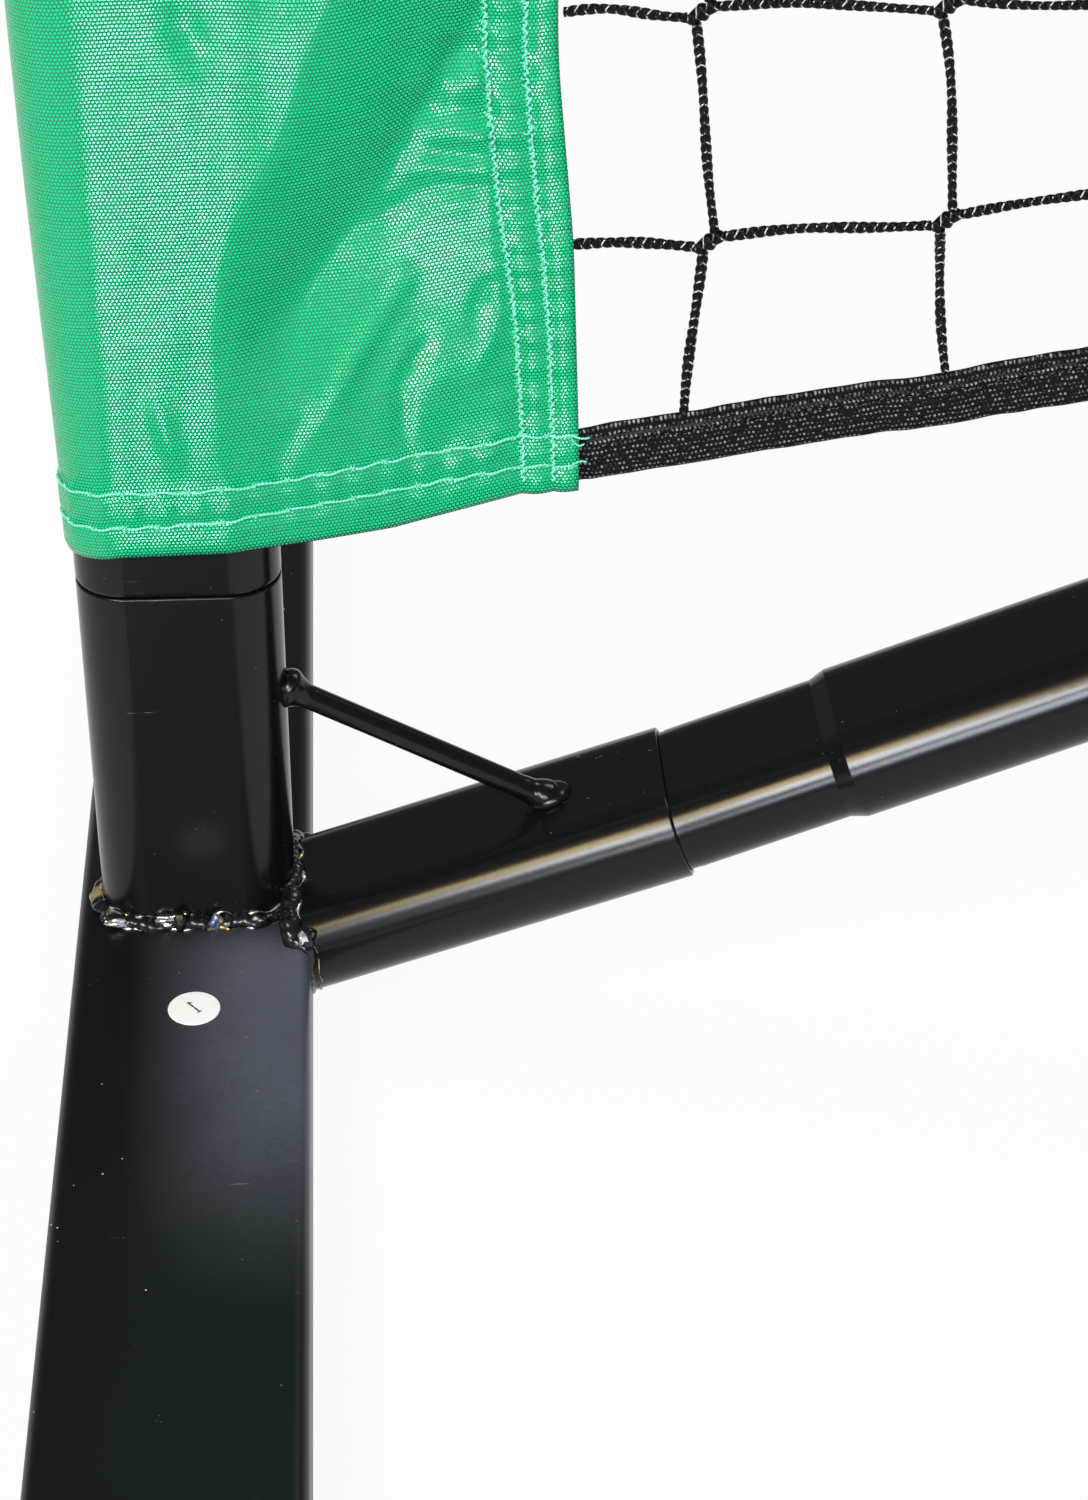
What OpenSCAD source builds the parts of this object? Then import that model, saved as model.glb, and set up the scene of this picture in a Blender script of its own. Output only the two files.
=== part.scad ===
// Portable low court net on two posts.
// X runs along the net, Y along the foot bars, Z up. The origin is on the floor at the middle of the net.
// Everything at the left post is drawn in a frame that stands on the floor under that post;
// the right side is its mirror image.

/* [Net size] */
// Distance between the two post axes
post_spacing = 3000; // [2200:50:4000]
// Height of the top of the headband above the floor
net_height = 800; // [650:10:1000]

/* [Foot bars] */
// Width of the rectangular foot tube
foot_w = 48; // [44:1:70]
// Thickness of the rectangular foot tube
foot_t = 23; // [18:1:34]
// Radius round the foot tube's corners
foot_corner = 2.8; // [2:0.1:6]
// Wall of the foot tube
foot_wall = 1.5; // [1:0.1:2.5]
// Length of the foot tube without its boots
foot_len = 700; // [400:10:1000]
// How far the post stands off the middle of the foot bar, towards the net
post_inset = 1; // [0:0.5:6]

/* [End boots] */
// Wall of a rubber boot, which is also its sole
boot_wall = 3; // [2:0.5:6]
// How far a boot covers the foot tube
boot_cover = 42; // [20:1:80]
// Radius round the closed end of a boot
boot_round = 4; // [2:0.5:5]
// Gap between a boot and the tube
boot_gap = 0.1; // [0.05:0.05:0.3]

/* [Posts and lower bar] */
// Width of the flat-oval tube of posts and bar
tube_w = 40; // [32:1:60]
// Thickness of the flat-oval tube of posts and bar
tube_t = 20; // [16:1:30]
// Wall of the tube of posts and bar
tube_wall = 1; // [0.8:0.1:2]
// Height of the post socket above the foot bar
socket_h = 78; // [50:1:140]
// Length of a post's spigot inside its socket
spigot_len = 60; // [30:1:75]
// Radius of the shoulder between spigot and post
shoulder_r = 1.4; // [0.8:0.1:2]
// Gap all round between a swaged end and the tube that it is in
swage_gap = 0.15; // [0.05:0.05:0.4]
// Gap between a post's shoulder and the rim of its socket
seat_gap = 0.3; // [0.1:0.1:0.5]

/* [Lower bar] */
// Height of the bar's axis above the underside of the foot bar, at the foot's edge
bar_root_h = 17.3; // [14:0.1:24]
// Rise of the welded stub
stub_rise = 19.1; // [8:0.1:26]
// Length of the stub from the foot's edge
stub_len = 80; // [60:1:150]
// How much steeper than the stub the end tube stands where it leaves it
bar_kick = 2.2; // [0.5:0.1:5]
// Radius of the knee that makes it steeper, at the tube's axis
knee_r = 60; // [30:5:120]
// Length of a swage inside its socket
insert_len = 50; // [25:1:60]
// Length of a swage that shows outside its socket
swage_show = 32; // [4:1:60]
// Length of the cone between swage and full tube
swage_cone = 3.5; // [2:0.5:8]
// Straight length of the end tube before its bend, from its knee
end_straight = 108; // [70:1:200]
// Radius of the end tube's bend at its axis
bend_r = 340; // [250:10:600]
// How much a bend draws the tube in, all round
bend_draw = 0.1; // [0.05:0.05:0.3]
// Length by which a bend runs on into the straight tube
bend_lap = 1; // [0.5:0.5:2]
// Distance from the post to the end tube's inner end
end_reach = 860; // [600:10:1000]

/* [Brace and welds] */
// Diameter of the brace rod
rod_d = 5; // [4:0.5:8]
// Height of the rod's end on the socket above the foot bar
rod_up = 51; // [35:1:70]
// Distance along the stub from the foot's edge to the rod's other end
rod_out = 56; // [40:1:70]
// Radius of the flattened tack at each end of the rod
rod_tack_r = 4.2; // [3:0.1:6]
// Leg of the weld beads
weld_leg = 2.8; // [1.5:0.1:4]

/* [Post cap] */
// Height of the cap above the tube
cap_h = 4; // [2:0.5:8]
// Depth of the cap's plug
cap_plug = 22; // [10:1:40]
// Wall of the cap's plug
cap_wall = 2; // [1.2:0.1:3]
// Radius round the cap's top edge
cap_round = 2.5; // [1:0.1:4]
// Gap between the plug and the tube
cap_gap = 0.1; // [0.05:0.05:0.3]

/* [Sleeve] */
// Thickness of the coated cloth
cloth = 0.6; // [0.4:0.1:1.2]
// Gap between the cloth and the post
sleeve_gap = 0.4; // [0.3:0.1:1.5]
// Gap between the sleeve's closed top and the cap
sleeve_head_gap = 0.3; // [0.3:0.1:2]
// Distance from the post axis to the sleeve's free edge
sleeve_reach = 77; // [60:1:120]
// Width of the sewn edge, where both layers lie together
seam_w = 15; // [8:1:20]
// Room between the layers in the sewn edge
seam_gap = 1.2; // [0.6:0.1:3]
// Gap between the socket's rim and the hem, at the post's outer edge
hem_gap = 9; // [6:1:30]
// Rise of the hem towards the net
hem_rise = 4.8; // [0:0.1:10]

/* [Netting] */
// Pitch of the square mesh
mesh = 44; // [30:1:60]
// Diameter of the braided cord
cord_d = 2.4; // [1.5:0.1:4]
// Distance from the post axis to the first upright cord
first_cord = 100; // [85:1:140]
// Every how many cords the solid net carries one
cord_step = 2; // [2:1:4]

/* [Headband and bottom tape] */
// Height of the headband
band_h = 52; // [40:1:80]
// Thickness of the headband's two layers and the net's edge between them
band_t = 3; // [2:0.1:5]
// Diameter of the head cord
head_cord_d = 6; // [4:0.5:8]
// Gap between the head cord and the band
head_cord_gap = 0.1; // [0.05:0.05:0.3]
// Height of the bottom tape
tape_h = 11.3; // [8:0.1:25]
// Thickness of the folded bottom tape
tape_t = 4; // [3:0.1:6]
// Height of the tape's middle above the floor at the sleeve's edge
tape_root_h = 128.5; // [122:0.5:200]
// Rise of the tape at the sleeve's edge
tape_rise = 9.6; // [2:0.1:15]
// Radius of the tape's curve, from its rise to level
tape_r = 2900; // [1500:50:5000]

/* [Hidden] */
$fn = 64;
fine = 720;
foot_mid_h = boot_wall + foot_t / 2;
foot_top_h = boot_wall + foot_t;
foot_edge = foot_w / 2 - post_inset;
rim_h = foot_top_h + socket_h;
tube_flat = tube_w - tube_t;
tube_r = tube_t / 2;
swage_r = tube_r - tube_wall - swage_gap;
post_foot_h = rim_h + seat_gap;
post_top_h = net_height - cap_h - sleeve_head_gap - cloth;
sleeve_top_h = net_height;
// the stub's axis starts at the foot's edge, and its rim and the end tube's knee and bend follow from it
bar_rise = stub_rise + bar_kick;
stub_root = [foot_edge, 0, boot_wall + bar_root_h];
stub_rim = stub_root + stub_len * [cos(stub_rise), 0, sin(stub_rise)];
knee_centre = stub_rim + knee_r * [-sin(stub_rise), 0, cos(stub_rise)];
knee_end = knee_centre - knee_r * [-sin(bar_rise), 0, cos(bar_rise)];
bend_start = knee_end + end_straight * [cos(bar_rise), 0, sin(bar_rise)];
bend_centre = bend_start - bend_r * [-sin(bar_rise), 0, cos(bar_rise)];
bar_h = bend_centre[2] + bend_r;
half = post_spacing / 2;
// the tape's curve is an arc that becomes level at its end
tape_arc_x = sleeve_reach + tape_r * sin(tape_rise);
tape_level_h = tape_root_h + tape_r * (1 - cos(tape_rise));
cavity_r = tube_r + sleeve_gap;
seam_x = sleeve_reach - seam_w;
tuck = 0.02;
// depth to which the rod's lower tack starts inside the stub's wall
tack_root = 0.5;
// whole cells between the first and the last upright cord, and between the tape and the headband
band_low_h = net_height - band_h;
cells_x = cord_step * round((post_spacing - 2 * first_cord) / mesh / cord_step);
pitch_x = (post_spacing - 2 * first_cord) / cells_x;
cells_z = floor((band_low_h - tape_level_h) / mesh / cord_step);
band_cord_r = head_cord_d / 2 + head_cord_gap;
far = 10000;

// ---- places ----

// Stands its children on the floor under the left post
module at_left() {
    translate([-half, 0, 0]) children();
}

// The same under the right post, mirrored
module at_right() {
    mirror([1, 0, 0]) at_left() children();
}

// Turns a shape whose axis is Z and whose width is X to lie along X with its width along Y
module along_x() {
    rotate([0, 90, 0]) rotate([0, 0, 90]) children();
}

// Carries children that run along X to a point of the bar, at a rise
module on_bar(point, rise) {
    translate(point) rotate([0, -rise, 0]) children();
}

// ---- shapes shared by the tubes ----

// Flat oval: a rectangle with a half circle at each end
module flat_oval(w, t) {
    square([w - t, t], center = true);
    for (side = [-1, 1])
        translate([side * (w - t) / 2, 0]) circle(d = t);
}

// Rectangle with round corners
module round_box(w, t, r) {
    square([w - 2 * r, t], center = true);
    square([w, t - 2 * r], center = true);
    for (a = [-1, 1], b = [-1, 1])
        translate([a * (w / 2 - r), b * (t / 2 - r)]) circle(r = r);
}

// Carries an outline of radius and height round a flat oval: turned at both ends, drawn out between
module oval_turned(flat) {
    for (side = [-1, 1])
        translate([side * flat / 2, 0, 0]) rotate([0, 0, -90 * side])
            rotate_extrude(angle = 180) children();
    rotate([90, 0, 90]) linear_extrude(height = flat, center = true) {
        children();
        mirror([1, 0]) children();
    }
}

// Straight tube from z0 to z1 along Z, with half its thickness as its radius
module tube_run(z0, z1, r = tube_r) {
    oval_turned(tube_flat)
        translate([r - tube_wall, z0]) square([tube_wall, z1 - z0]);
}

// Tube bent in the plane of the net round a centre, from one angle above +X through another.
// Bending draws it in a little all round, and it runs on into the straight tube at both ends.
module tube_bend(centre, bend, from, angle, r) {
    lap = bend_lap / bend * 180 / PI;
    drawn = r - bend_draw;
    translate(centre) rotate([90, 0, 0]) rotate([0, 0, from - lap])
        rotate_extrude(angle = angle + 2 * lap, $fn = fine) translate([bend, 0]) rotate(90) difference() {
            flat_oval(tube_flat + 2 * drawn, 2 * drawn, $fn = 64);
            flat_oval(tube_flat + 2 * (drawn - tube_wall), 2 * (drawn - tube_wall), $fn = 64);
        }
}

// Swaged tube along Z: the narrow part from z0, and the cone up to the full tube
module swage(z0) {
    cone_end = swage_show + swage_cone;
    oval_turned(tube_flat) polygon([
        [swage_r - tube_wall, z0],
        [swage_r, z0],
        [swage_r, swage_show],
        [tube_r, cone_end],
        [tube_r - tube_wall, cone_end],
        [swage_r - tube_wall, swage_show]
    ]);
}

// Solid outside of the foot bar, socket and stub, for the copes
module foot_solid() {
    translate([-post_inset, 0, foot_mid_h]) rotate([90, 0, 0])
        linear_extrude(height = foot_len, center = true) round_box(foot_w, foot_t, foot_corner);
}

module socket_solid() {
    translate([0, 0, foot_mid_h]) linear_extrude(height = rim_h - foot_mid_h) flat_oval(tube_w, tube_t);
}

module stub_solid() {
    beyond(tube_w / 2 - tube_wall) on_bar(stub_root, stub_rise) along_x()
        translate([0, 0, -tube_t]) linear_extrude(height = stub_len + tube_t) flat_oval(tube_w, tube_t);
}

// Keeps what lies on the net's side of an upright plane across the net at x
module beyond(x) {
    intersection() {
        children();
        translate([x, -far / 2, -far / 2]) cube(far);
    }
}

// ---- foot bars and boots ----

module foot_bar() {
    color("#1b1c1f") translate([-post_inset, 0, foot_mid_h]) rotate([90, 0, 0])
        linear_extrude(height = foot_len, center = true) difference() {
            round_box(foot_w, foot_t, foot_corner);
            round_box(foot_w - 2 * foot_wall, foot_t - 2 * foot_wall, foot_corner - foot_wall);
        }
}

// Side view of the closed cup: straight sides up to a rounded end
module cup_side(half, tall) {
    translate([-half, 0]) square([2 * half, tall - boot_round]);
    translate([-(half - boot_round), 0]) square([2 * (half - boot_round), tall]);
    for (side = [-1, 1])
        translate([side * (half - boot_round), tall - boot_round]) circle(r = boot_round);
}

// One turned corner of the cup, about its own axis
module cup_corner(outer, tall) {
    rotate_extrude(angle = 90) {
        square([outer, tall - boot_round]);
        square([outer - boot_round, tall]);
        translate([outer - boot_round, tall - boot_round]) intersection() {
            circle(r = boot_round);
            square(boot_round);
        }
    }
}

// Rubber cup over the front end of the foot bar, with a rounded closed end
module boot() {
    outer = foot_corner + boot_wall;
    core_w = foot_w - 2 * foot_corner;
    core_t = foot_t - 2 * foot_corner;
    tall = boot_cover + boot_gap + boot_wall;
    color("#141414") translate([-post_inset, -foot_len / 2 + boot_cover, foot_mid_h]) rotate([90, 0, 0])
        difference() {
            union() {
                rotate([90, 0, 90]) linear_extrude(height = core_w, center = true)
                    cup_side(core_t / 2 + outer, tall);
                rotate([90, 0, 0]) linear_extrude(height = core_t, center = true)
                    cup_side(core_w / 2 + outer, tall);
                translate([core_w / 2, core_t / 2, 0]) cup_corner(outer, tall);
                translate([-core_w / 2, core_t / 2, 0]) rotate([0, 0, 90]) cup_corner(outer, tall);
                translate([-core_w / 2, -core_t / 2, 0]) rotate([0, 0, 180]) cup_corner(outer, tall);
                translate([core_w / 2, -core_t / 2, 0]) rotate([0, 0, 270]) cup_corner(outer, tall);
            }
            translate([0, 0, -1]) linear_extrude(height = boot_cover + boot_gap + 1)
                round_box(foot_w + 2 * boot_gap, foot_t + 2 * boot_gap, foot_corner + boot_gap);
        }
}

module boot_front() {
    boot();
}

module boot_back() {
    mirror([0, 1, 0]) boot();
}

// ---- welded corner ----

// Socket for the upper post, standing on the foot bar
module post_socket() {
    color("#1b1c1f") difference() {
        translate([0, 0, foot_mid_h]) linear_extrude(height = rim_h - foot_mid_h) difference() {
            flat_oval(tube_w, tube_t);
            flat_oval(tube_w - 2 * tube_wall, tube_t - 2 * tube_wall);
        }
        foot_solid();
    }
}

// Stub of the lower bar, coped to the foot bar and the socket
module bar_stub() {
    color("#1b1c1f") difference() {
        beyond(tube_w / 2 - tube_wall) on_bar(stub_root, stub_rise) along_x() tube_run(-tube_t, stub_len);
        foot_solid();
        socket_solid();
    }
}

// Beads round the foot of the socket and round the root of the stub
module weld() {
    drop = foot_t / 2;
    color("#6f7478") difference() {
        union() {
            translate([0, 0, foot_top_h]) oval_turned(tube_flat) translate([tube_r, 0]) {
                intersection() {
                    circle(r = weld_leg);
                    square(weld_leg);
                }
                translate([0, -drop]) square([weld_leg, drop]);
            }
            intersection() {
                on_bar(stub_root, stub_rise) along_x() translate([0, 0, -tube_t])
                    linear_extrude(height = 2 * tube_t)
                        flat_oval(tube_w + 2 * weld_leg, tube_t + 2 * weld_leg);
                translate([tube_w / 2 - tube_wall, -far / 2, 0])
                    cube([foot_edge + weld_leg - tube_w / 2 + tube_wall, far, far]);
            }
        }
        foot_solid();
        socket_solid();
        stub_solid();
    }
}

// Brace rod from the side of the socket to the top of the stub, tacked at both ends
module brace_rod() {
    along = [cos(stub_rise), 0, sin(stub_rise)];
    square_off = [-sin(stub_rise), 0, cos(stub_rise)];
    upper = [tube_w / 2, 0, foot_top_h + rod_up];
    lower = stub_root + rod_out * along + tube_r * square_off;
    way = lower - upper;
    dip = atan2(-way[2], way[0]);
    color("#202124") difference() {
        union() {
            translate(upper) rotate([0, 90 + dip, 0]) translate([0, 0, -rod_d])
                cylinder(d = rod_d, h = norm(way) + 1.5 * rod_d);
            translate(upper) sphere(r = rod_tack_r);
            on_bar(lower, stub_rise) translate([0, 0, -tack_root])
                cylinder(r1 = rod_tack_r, r2 = rod_tack_r * 0.7, h = rod_d * 0.7 + tack_root);
        }
        socket_solid();
        stub_solid();
    }
}

// ---- lower bar ----

// Tube that stands in the stub with its swaged end, bends over to level and runs in towards the middle
module end_tube() {
    color("#1b1c1f") {
        on_bar(stub_rim, stub_rise) along_x() tube_run(-insert_len, 0, swage_r);
        tube_bend(knee_centre, knee_r, stub_rise - 90, bar_kick, swage_r);
        on_bar(knee_end, bar_rise) along_x() {
            swage(0);
            tube_run(swage_show + swage_cone, end_straight);
        }
        tube_bend(bend_centre, bend_r, 90, bar_rise, tube_r);
        translate([bend_centre[0], 0, bar_h]) along_x() tube_run(0, end_reach - bend_centre[0]);
    }
}

// Middle tube, swaged into the end tube, up to a distance from the post
module middle_tube(reach) {
    color("#1b1c1f") translate([end_reach, 0, bar_h]) along_x() {
        swage(-insert_len);
        tube_run(swage_show + swage_cone, reach - end_reach);
    }
}

// The right-hand middle tube also has a swage at the middle, which goes into the left-hand one
module middle_tube_two_swages() {
    middle_tube(half - swage_show - swage_cone);
    color("#1b1c1f") translate([half, 0, bar_h]) mirror([1, 0, 0]) along_x() swage(-insert_len);
}

// ---- upper posts ----

// Post with a spigot below and a rounded shoulder on the socket's rim
module upper_post() {
    low = rim_h - spigot_len;
    step = tube_r - swage_r;
    color("#1b1c1f") oval_turned(tube_flat) {
        translate([swage_r - tube_wall, low]) square([tube_wall, post_foot_h + shoulder_r - low]);
        translate([swage_r, post_foot_h]) intersection() {
            translate([step - shoulder_r, shoulder_r]) circle(r = shoulder_r);
            translate([0, 0]) square([step, shoulder_r]);
        }
        translate([tube_r - tube_wall, post_foot_h + shoulder_r])
            square([tube_wall, post_top_h - post_foot_h - shoulder_r]);
    }
}

// Plastic cap with a hollow plug
module post_cap() {
    plug_r = tube_r - tube_wall - cap_gap;
    color("#141414") translate([0, 0, post_top_h]) oval_turned(tube_flat) {
        translate([plug_r - cap_wall, -cap_plug]) square([cap_wall, cap_plug]);
        square([tube_r, cap_h - cap_round]);
        square([tube_r - cap_round, cap_h]);
        translate([tube_r - cap_round, cap_h - cap_round]) intersection() {
            circle(r = cap_round);
            square(cap_round);
        }
    }
}

// ---- net ----

// Solid round the post that runs straight to a narrow sewn edge.
// Its straight sides lie along the common tangent of the end circle and the seam's half thickness,
// and start a hair inside the circle.
module sleeve_block(r, seam_half, edge, h) {
    centre = tube_flat / 2;
    lean = asin((r - seam_half) / (seam_x - centre));
    side_r = r - tuck;
    touch = [centre + side_r * sin(lean), side_r * cos(lean)];
    linear_extrude(height = h) flat_oval(tube_flat + 2 * r, 2 * r);
    linear_extrude(height = h) polygon([
        [0, 0],
        touch,
        [seam_x, seam_half],
        [edge, seam_half],
        [edge, -seam_half],
        [seam_x, -seam_half],
        [touch[0], -touch[1]]
    ]);
}

// Sleeve with a closed top and an open hem that rises towards the net
module sleeve() {
    outside = cavity_r + cloth;
    hem_h = rim_h + hem_gap;
    tall = sleeve_top_h - hem_h;
    color("#14b86a") difference() {
        translate([0, 0, hem_h]) sleeve_block(outside, seam_gap / 2 + cloth, sleeve_reach, tall);
        translate([0, 0, hem_h - cloth]) sleeve_block(cavity_r, seam_gap / 2, seam_x, tall);
        translate([-tube_flat / 2 - outside, 0, hem_h]) rotate([0, -hem_rise, 0])
            translate([-far / 2, -far / 2, -far]) cube(far);
    }
}

// Everything below the tape's curve, in the plane of the net, grown by a distance
module under_tape(grow) {
    for (side = [-1, 1])
        translate([side * (half - tape_arc_x), tape_level_h - tape_r])
            circle(r = tape_r + grow, $fn = 4 * fine);
    translate([-(half - tape_arc_x), tape_level_h + grow - far])
        square([post_spacing - 2 * tape_arc_x, far]);
}

// Stands a drawing of the net's plane upright, with a thickness
module net_plane(thick) {
    rotate([90, 0, 0]) linear_extrude(height = thick, center = true) children();
}

// Netting: upright and level cords as one flat grid, clear of the tape and the headband
module netting() {
    edge = half - sleeve_reach;
    color("#17181a") net_plane(cord_d) difference() {
        intersection() {
            union() {
                for (i = [0 : cord_step : cells_x])
                    translate([i * pitch_x + first_cord - half - cord_d / 2, 0])
                        square([cord_d, net_height]);
                for (i = [0 : cells_z])
                    translate([-edge, band_low_h - i * mesh * cord_step - cord_d])
                        square([2 * edge, cord_d]);
            }
            translate([-edge, 0]) square([2 * edge, band_low_h]);
        }
        under_tape(tape_h / 2);
    }
}

// Woven tape along the lower edge, between two curves a tape's height apart
module bottom_tape() {
    edge = half - sleeve_reach;
    color("#121214") net_plane(tape_t) intersection() {
        difference() {
            under_tape(tape_h / 2);
            under_tape(-tape_h / 2);
        }
        translate([-edge, 0]) square([2 * edge, net_height]);
    }
}

// Headband: two layers folded over the head cord at the top, closing on the net's edge below
module headband() {
    cord_h = net_height - band_cord_r - cloth;
    round_r = band_cord_r + cloth;
    lean = asin((round_r - band_t / 2) / (round_r * 3));
    edge = half - sleeve_reach;
    color("#f2f3f0") rotate([90, 0, 90]) linear_extrude(height = 2 * edge, center = true) difference() {
        union() {
            translate([0, cord_h]) circle(r = round_r);
            polygon([
                [-round_r * cos(lean), cord_h - round_r * sin(lean)],
                [-band_t / 2, cord_h - round_r * 3],
                [-band_t / 2, band_low_h],
                [band_t / 2, band_low_h],
                [band_t / 2, cord_h - round_r * 3],
                [round_r * cos(lean), cord_h - round_r * sin(lean)]
            ]);
        }
        translate([0, cord_h]) circle(r = band_cord_r);
    }
}

module head_cord() {
    color("#d8d4c4") translate([0, 0, net_height - band_cord_r - cloth]) rotate([0, 90, 0])
        cylinder(d = head_cord_d, h = post_spacing - 2 * sleeve_reach, center = true);
}

// ---- nodes ----

module foot_bar_left() at_left() foot_bar();
module foot_bar_right() at_right() foot_bar();
module boot_left_front() at_left() boot_front();
module boot_left_back() at_left() boot_back();
module boot_right_front() at_right() boot_front();
module boot_right_back() at_right() boot_back();
module post_socket_left() at_left() post_socket();
module post_socket_right() at_right() post_socket();
module bar_stub_left() at_left() bar_stub();
module bar_stub_right() at_right() bar_stub();
module weld_left() at_left() weld();
module weld_right() at_right() weld();
module brace_rod_left() at_left() brace_rod();
module brace_rod_right() at_right() brace_rod();
module end_tube_left() at_left() end_tube();
module end_tube_right() at_right() end_tube();
module middle_tube_left() at_left() middle_tube(half);
module middle_tube_right() at_right() middle_tube_two_swages();
module upper_post_left() at_left() upper_post();
module upper_post_right() at_right() upper_post();
module post_cap_left() at_left() post_cap();
module post_cap_right() at_right() post_cap();
module sleeve_left() at_left() sleeve();
module sleeve_right() at_right() sleeve();

foot_bar_left();
foot_bar_right();
boot_left_front();
boot_left_back();
boot_right_front();
boot_right_back();
post_socket_left();
post_socket_right();
bar_stub_left();
bar_stub_right();
weld_left();
weld_right();
brace_rod_left();
brace_rod_right();
end_tube_left();
end_tube_right();
middle_tube_left();
middle_tube_right();
upper_post_left();
upper_post_right();
post_cap_left();
post_cap_right();
sleeve_left();
sleeve_right();
netting();
headband();
head_cord();
bottom_tape();
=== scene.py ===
"""Low court net on two posts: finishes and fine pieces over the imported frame.

Pieces are worked out in millimetres in the frame of one post: x runs from the post's axis towards
the net, y to the back and z up. The right-hand ones are the mirror image of the left-hand ones.
"""
import bmesh
import bpy
import numpy as np
from mathutils import Matrix


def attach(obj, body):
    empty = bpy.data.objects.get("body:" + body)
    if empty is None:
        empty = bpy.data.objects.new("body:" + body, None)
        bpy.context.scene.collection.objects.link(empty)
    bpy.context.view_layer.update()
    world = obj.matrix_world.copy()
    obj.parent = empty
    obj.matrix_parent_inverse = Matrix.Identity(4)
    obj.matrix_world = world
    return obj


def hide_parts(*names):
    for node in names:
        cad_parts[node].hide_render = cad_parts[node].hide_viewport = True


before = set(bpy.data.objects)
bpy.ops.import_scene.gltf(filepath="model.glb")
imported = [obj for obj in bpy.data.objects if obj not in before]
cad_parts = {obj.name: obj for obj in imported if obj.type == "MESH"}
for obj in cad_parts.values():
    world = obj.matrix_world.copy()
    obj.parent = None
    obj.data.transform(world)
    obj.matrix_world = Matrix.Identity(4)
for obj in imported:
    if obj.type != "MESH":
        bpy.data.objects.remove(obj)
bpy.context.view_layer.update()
PI, TURN = np.pi, 2 * np.pi
SPAN = 3000.0
BRAID_PITCH, BRAID_SLANT = 1.85, 1.1
scene = bpy.context.scene

# ---- camera ----


def unit(vectors):
    return vectors / np.maximum(np.linalg.norm(vectors, axis=-1, keepdims=True), 1e-12)


def direction(turn, climb):
    """Unit vector at a turn from +Y towards +X and a climb above level, both in degrees."""
    t, c = np.radians([turn, climb])
    return np.array([np.sin(t) * np.cos(c), np.cos(t) * np.cos(c), np.sin(c)])


def stand(name, data, right, up, back, place):
    """Puts a camera or lamp at a place, with its own axes along three directions."""
    thing = bpy.data.objects.new(name, data)
    scene.collection.objects.link(thing)
    axes = np.stack([right, up, back, place], 1)
    thing.matrix_world = Matrix(np.vstack([axes, [0, 0, 0, 1.0]]).tolist())
    return thing


def look(place, heading, pitch, roll, lens):
    """Camera at place: heading turns from +Y towards +X, pitch is down, roll is about the view."""
    h, r = np.radians([heading, roll])
    ahead = direction(heading, -pitch)
    level = np.array([np.cos(h), -np.sin(h), 0.0])
    right = np.cos(r) * level + np.sin(r) * np.cross(level, ahead)
    data = bpy.data.cameras.new("camera")
    data.lens, data.clip_start = lens, 0.01
    scene.camera = stand("camera", data, right, np.cross(right, ahead), -ahead, place)


look((-1.4638, -0.5216, 0.4194), 3.9, 34.5, 0.7, 74.56)
scene.view_settings.view_transform = "Standard"

# ---- shader sums ----


class Value:
    """A socket whose number varies over a surface. Operators on it add Math nodes."""

    def __init__(self, paint, socket):
        self.paint, self.socket = paint, socket

    def maths(self, operation, *values):
        return self.paint.add("ShaderNodeMath", {"operation": operation}, dict(enumerate(values)))

    def __add__(self, other): return self.maths("ADD", self, other)
    def __radd__(self, other): return self.maths("ADD", other, self)
    def __sub__(self, other): return self.maths("SUBTRACT", self, other)
    def __rsub__(self, other): return self.maths("SUBTRACT", other, self)
    def __mul__(self, other): return self.maths("MULTIPLY", self, other)
    def __rmul__(self, other): return self.maths("MULTIPLY", other, self)
    def __truediv__(self, other): return self.maths("DIVIDE", self, other)
    def __mod__(self, other): return self.maths("FLOORED_MODULO", self, other)
    def __abs__(self): return self.maths("ABSOLUTE", self)

    def floor(self): return self.maths("FLOOR", self)
    def sin(self): return self.maths("SINE", self)
    def turn(self, other): return self.maths("ARCTAN2", self, other)
    def high(self, other): return self.maths("MAXIMUM", self, other)
    def low(self, other): return self.maths("MINIMUM", self, other)

    def step(self, start, end):
        """0 before start, 1 after end, and a smooth rise between."""
        return self.paint.add("ShaderNodeMapRange", {"interpolation_type": "SMOOTHSTEP"},
                              {0: self, 1: start, 2: end})


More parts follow.
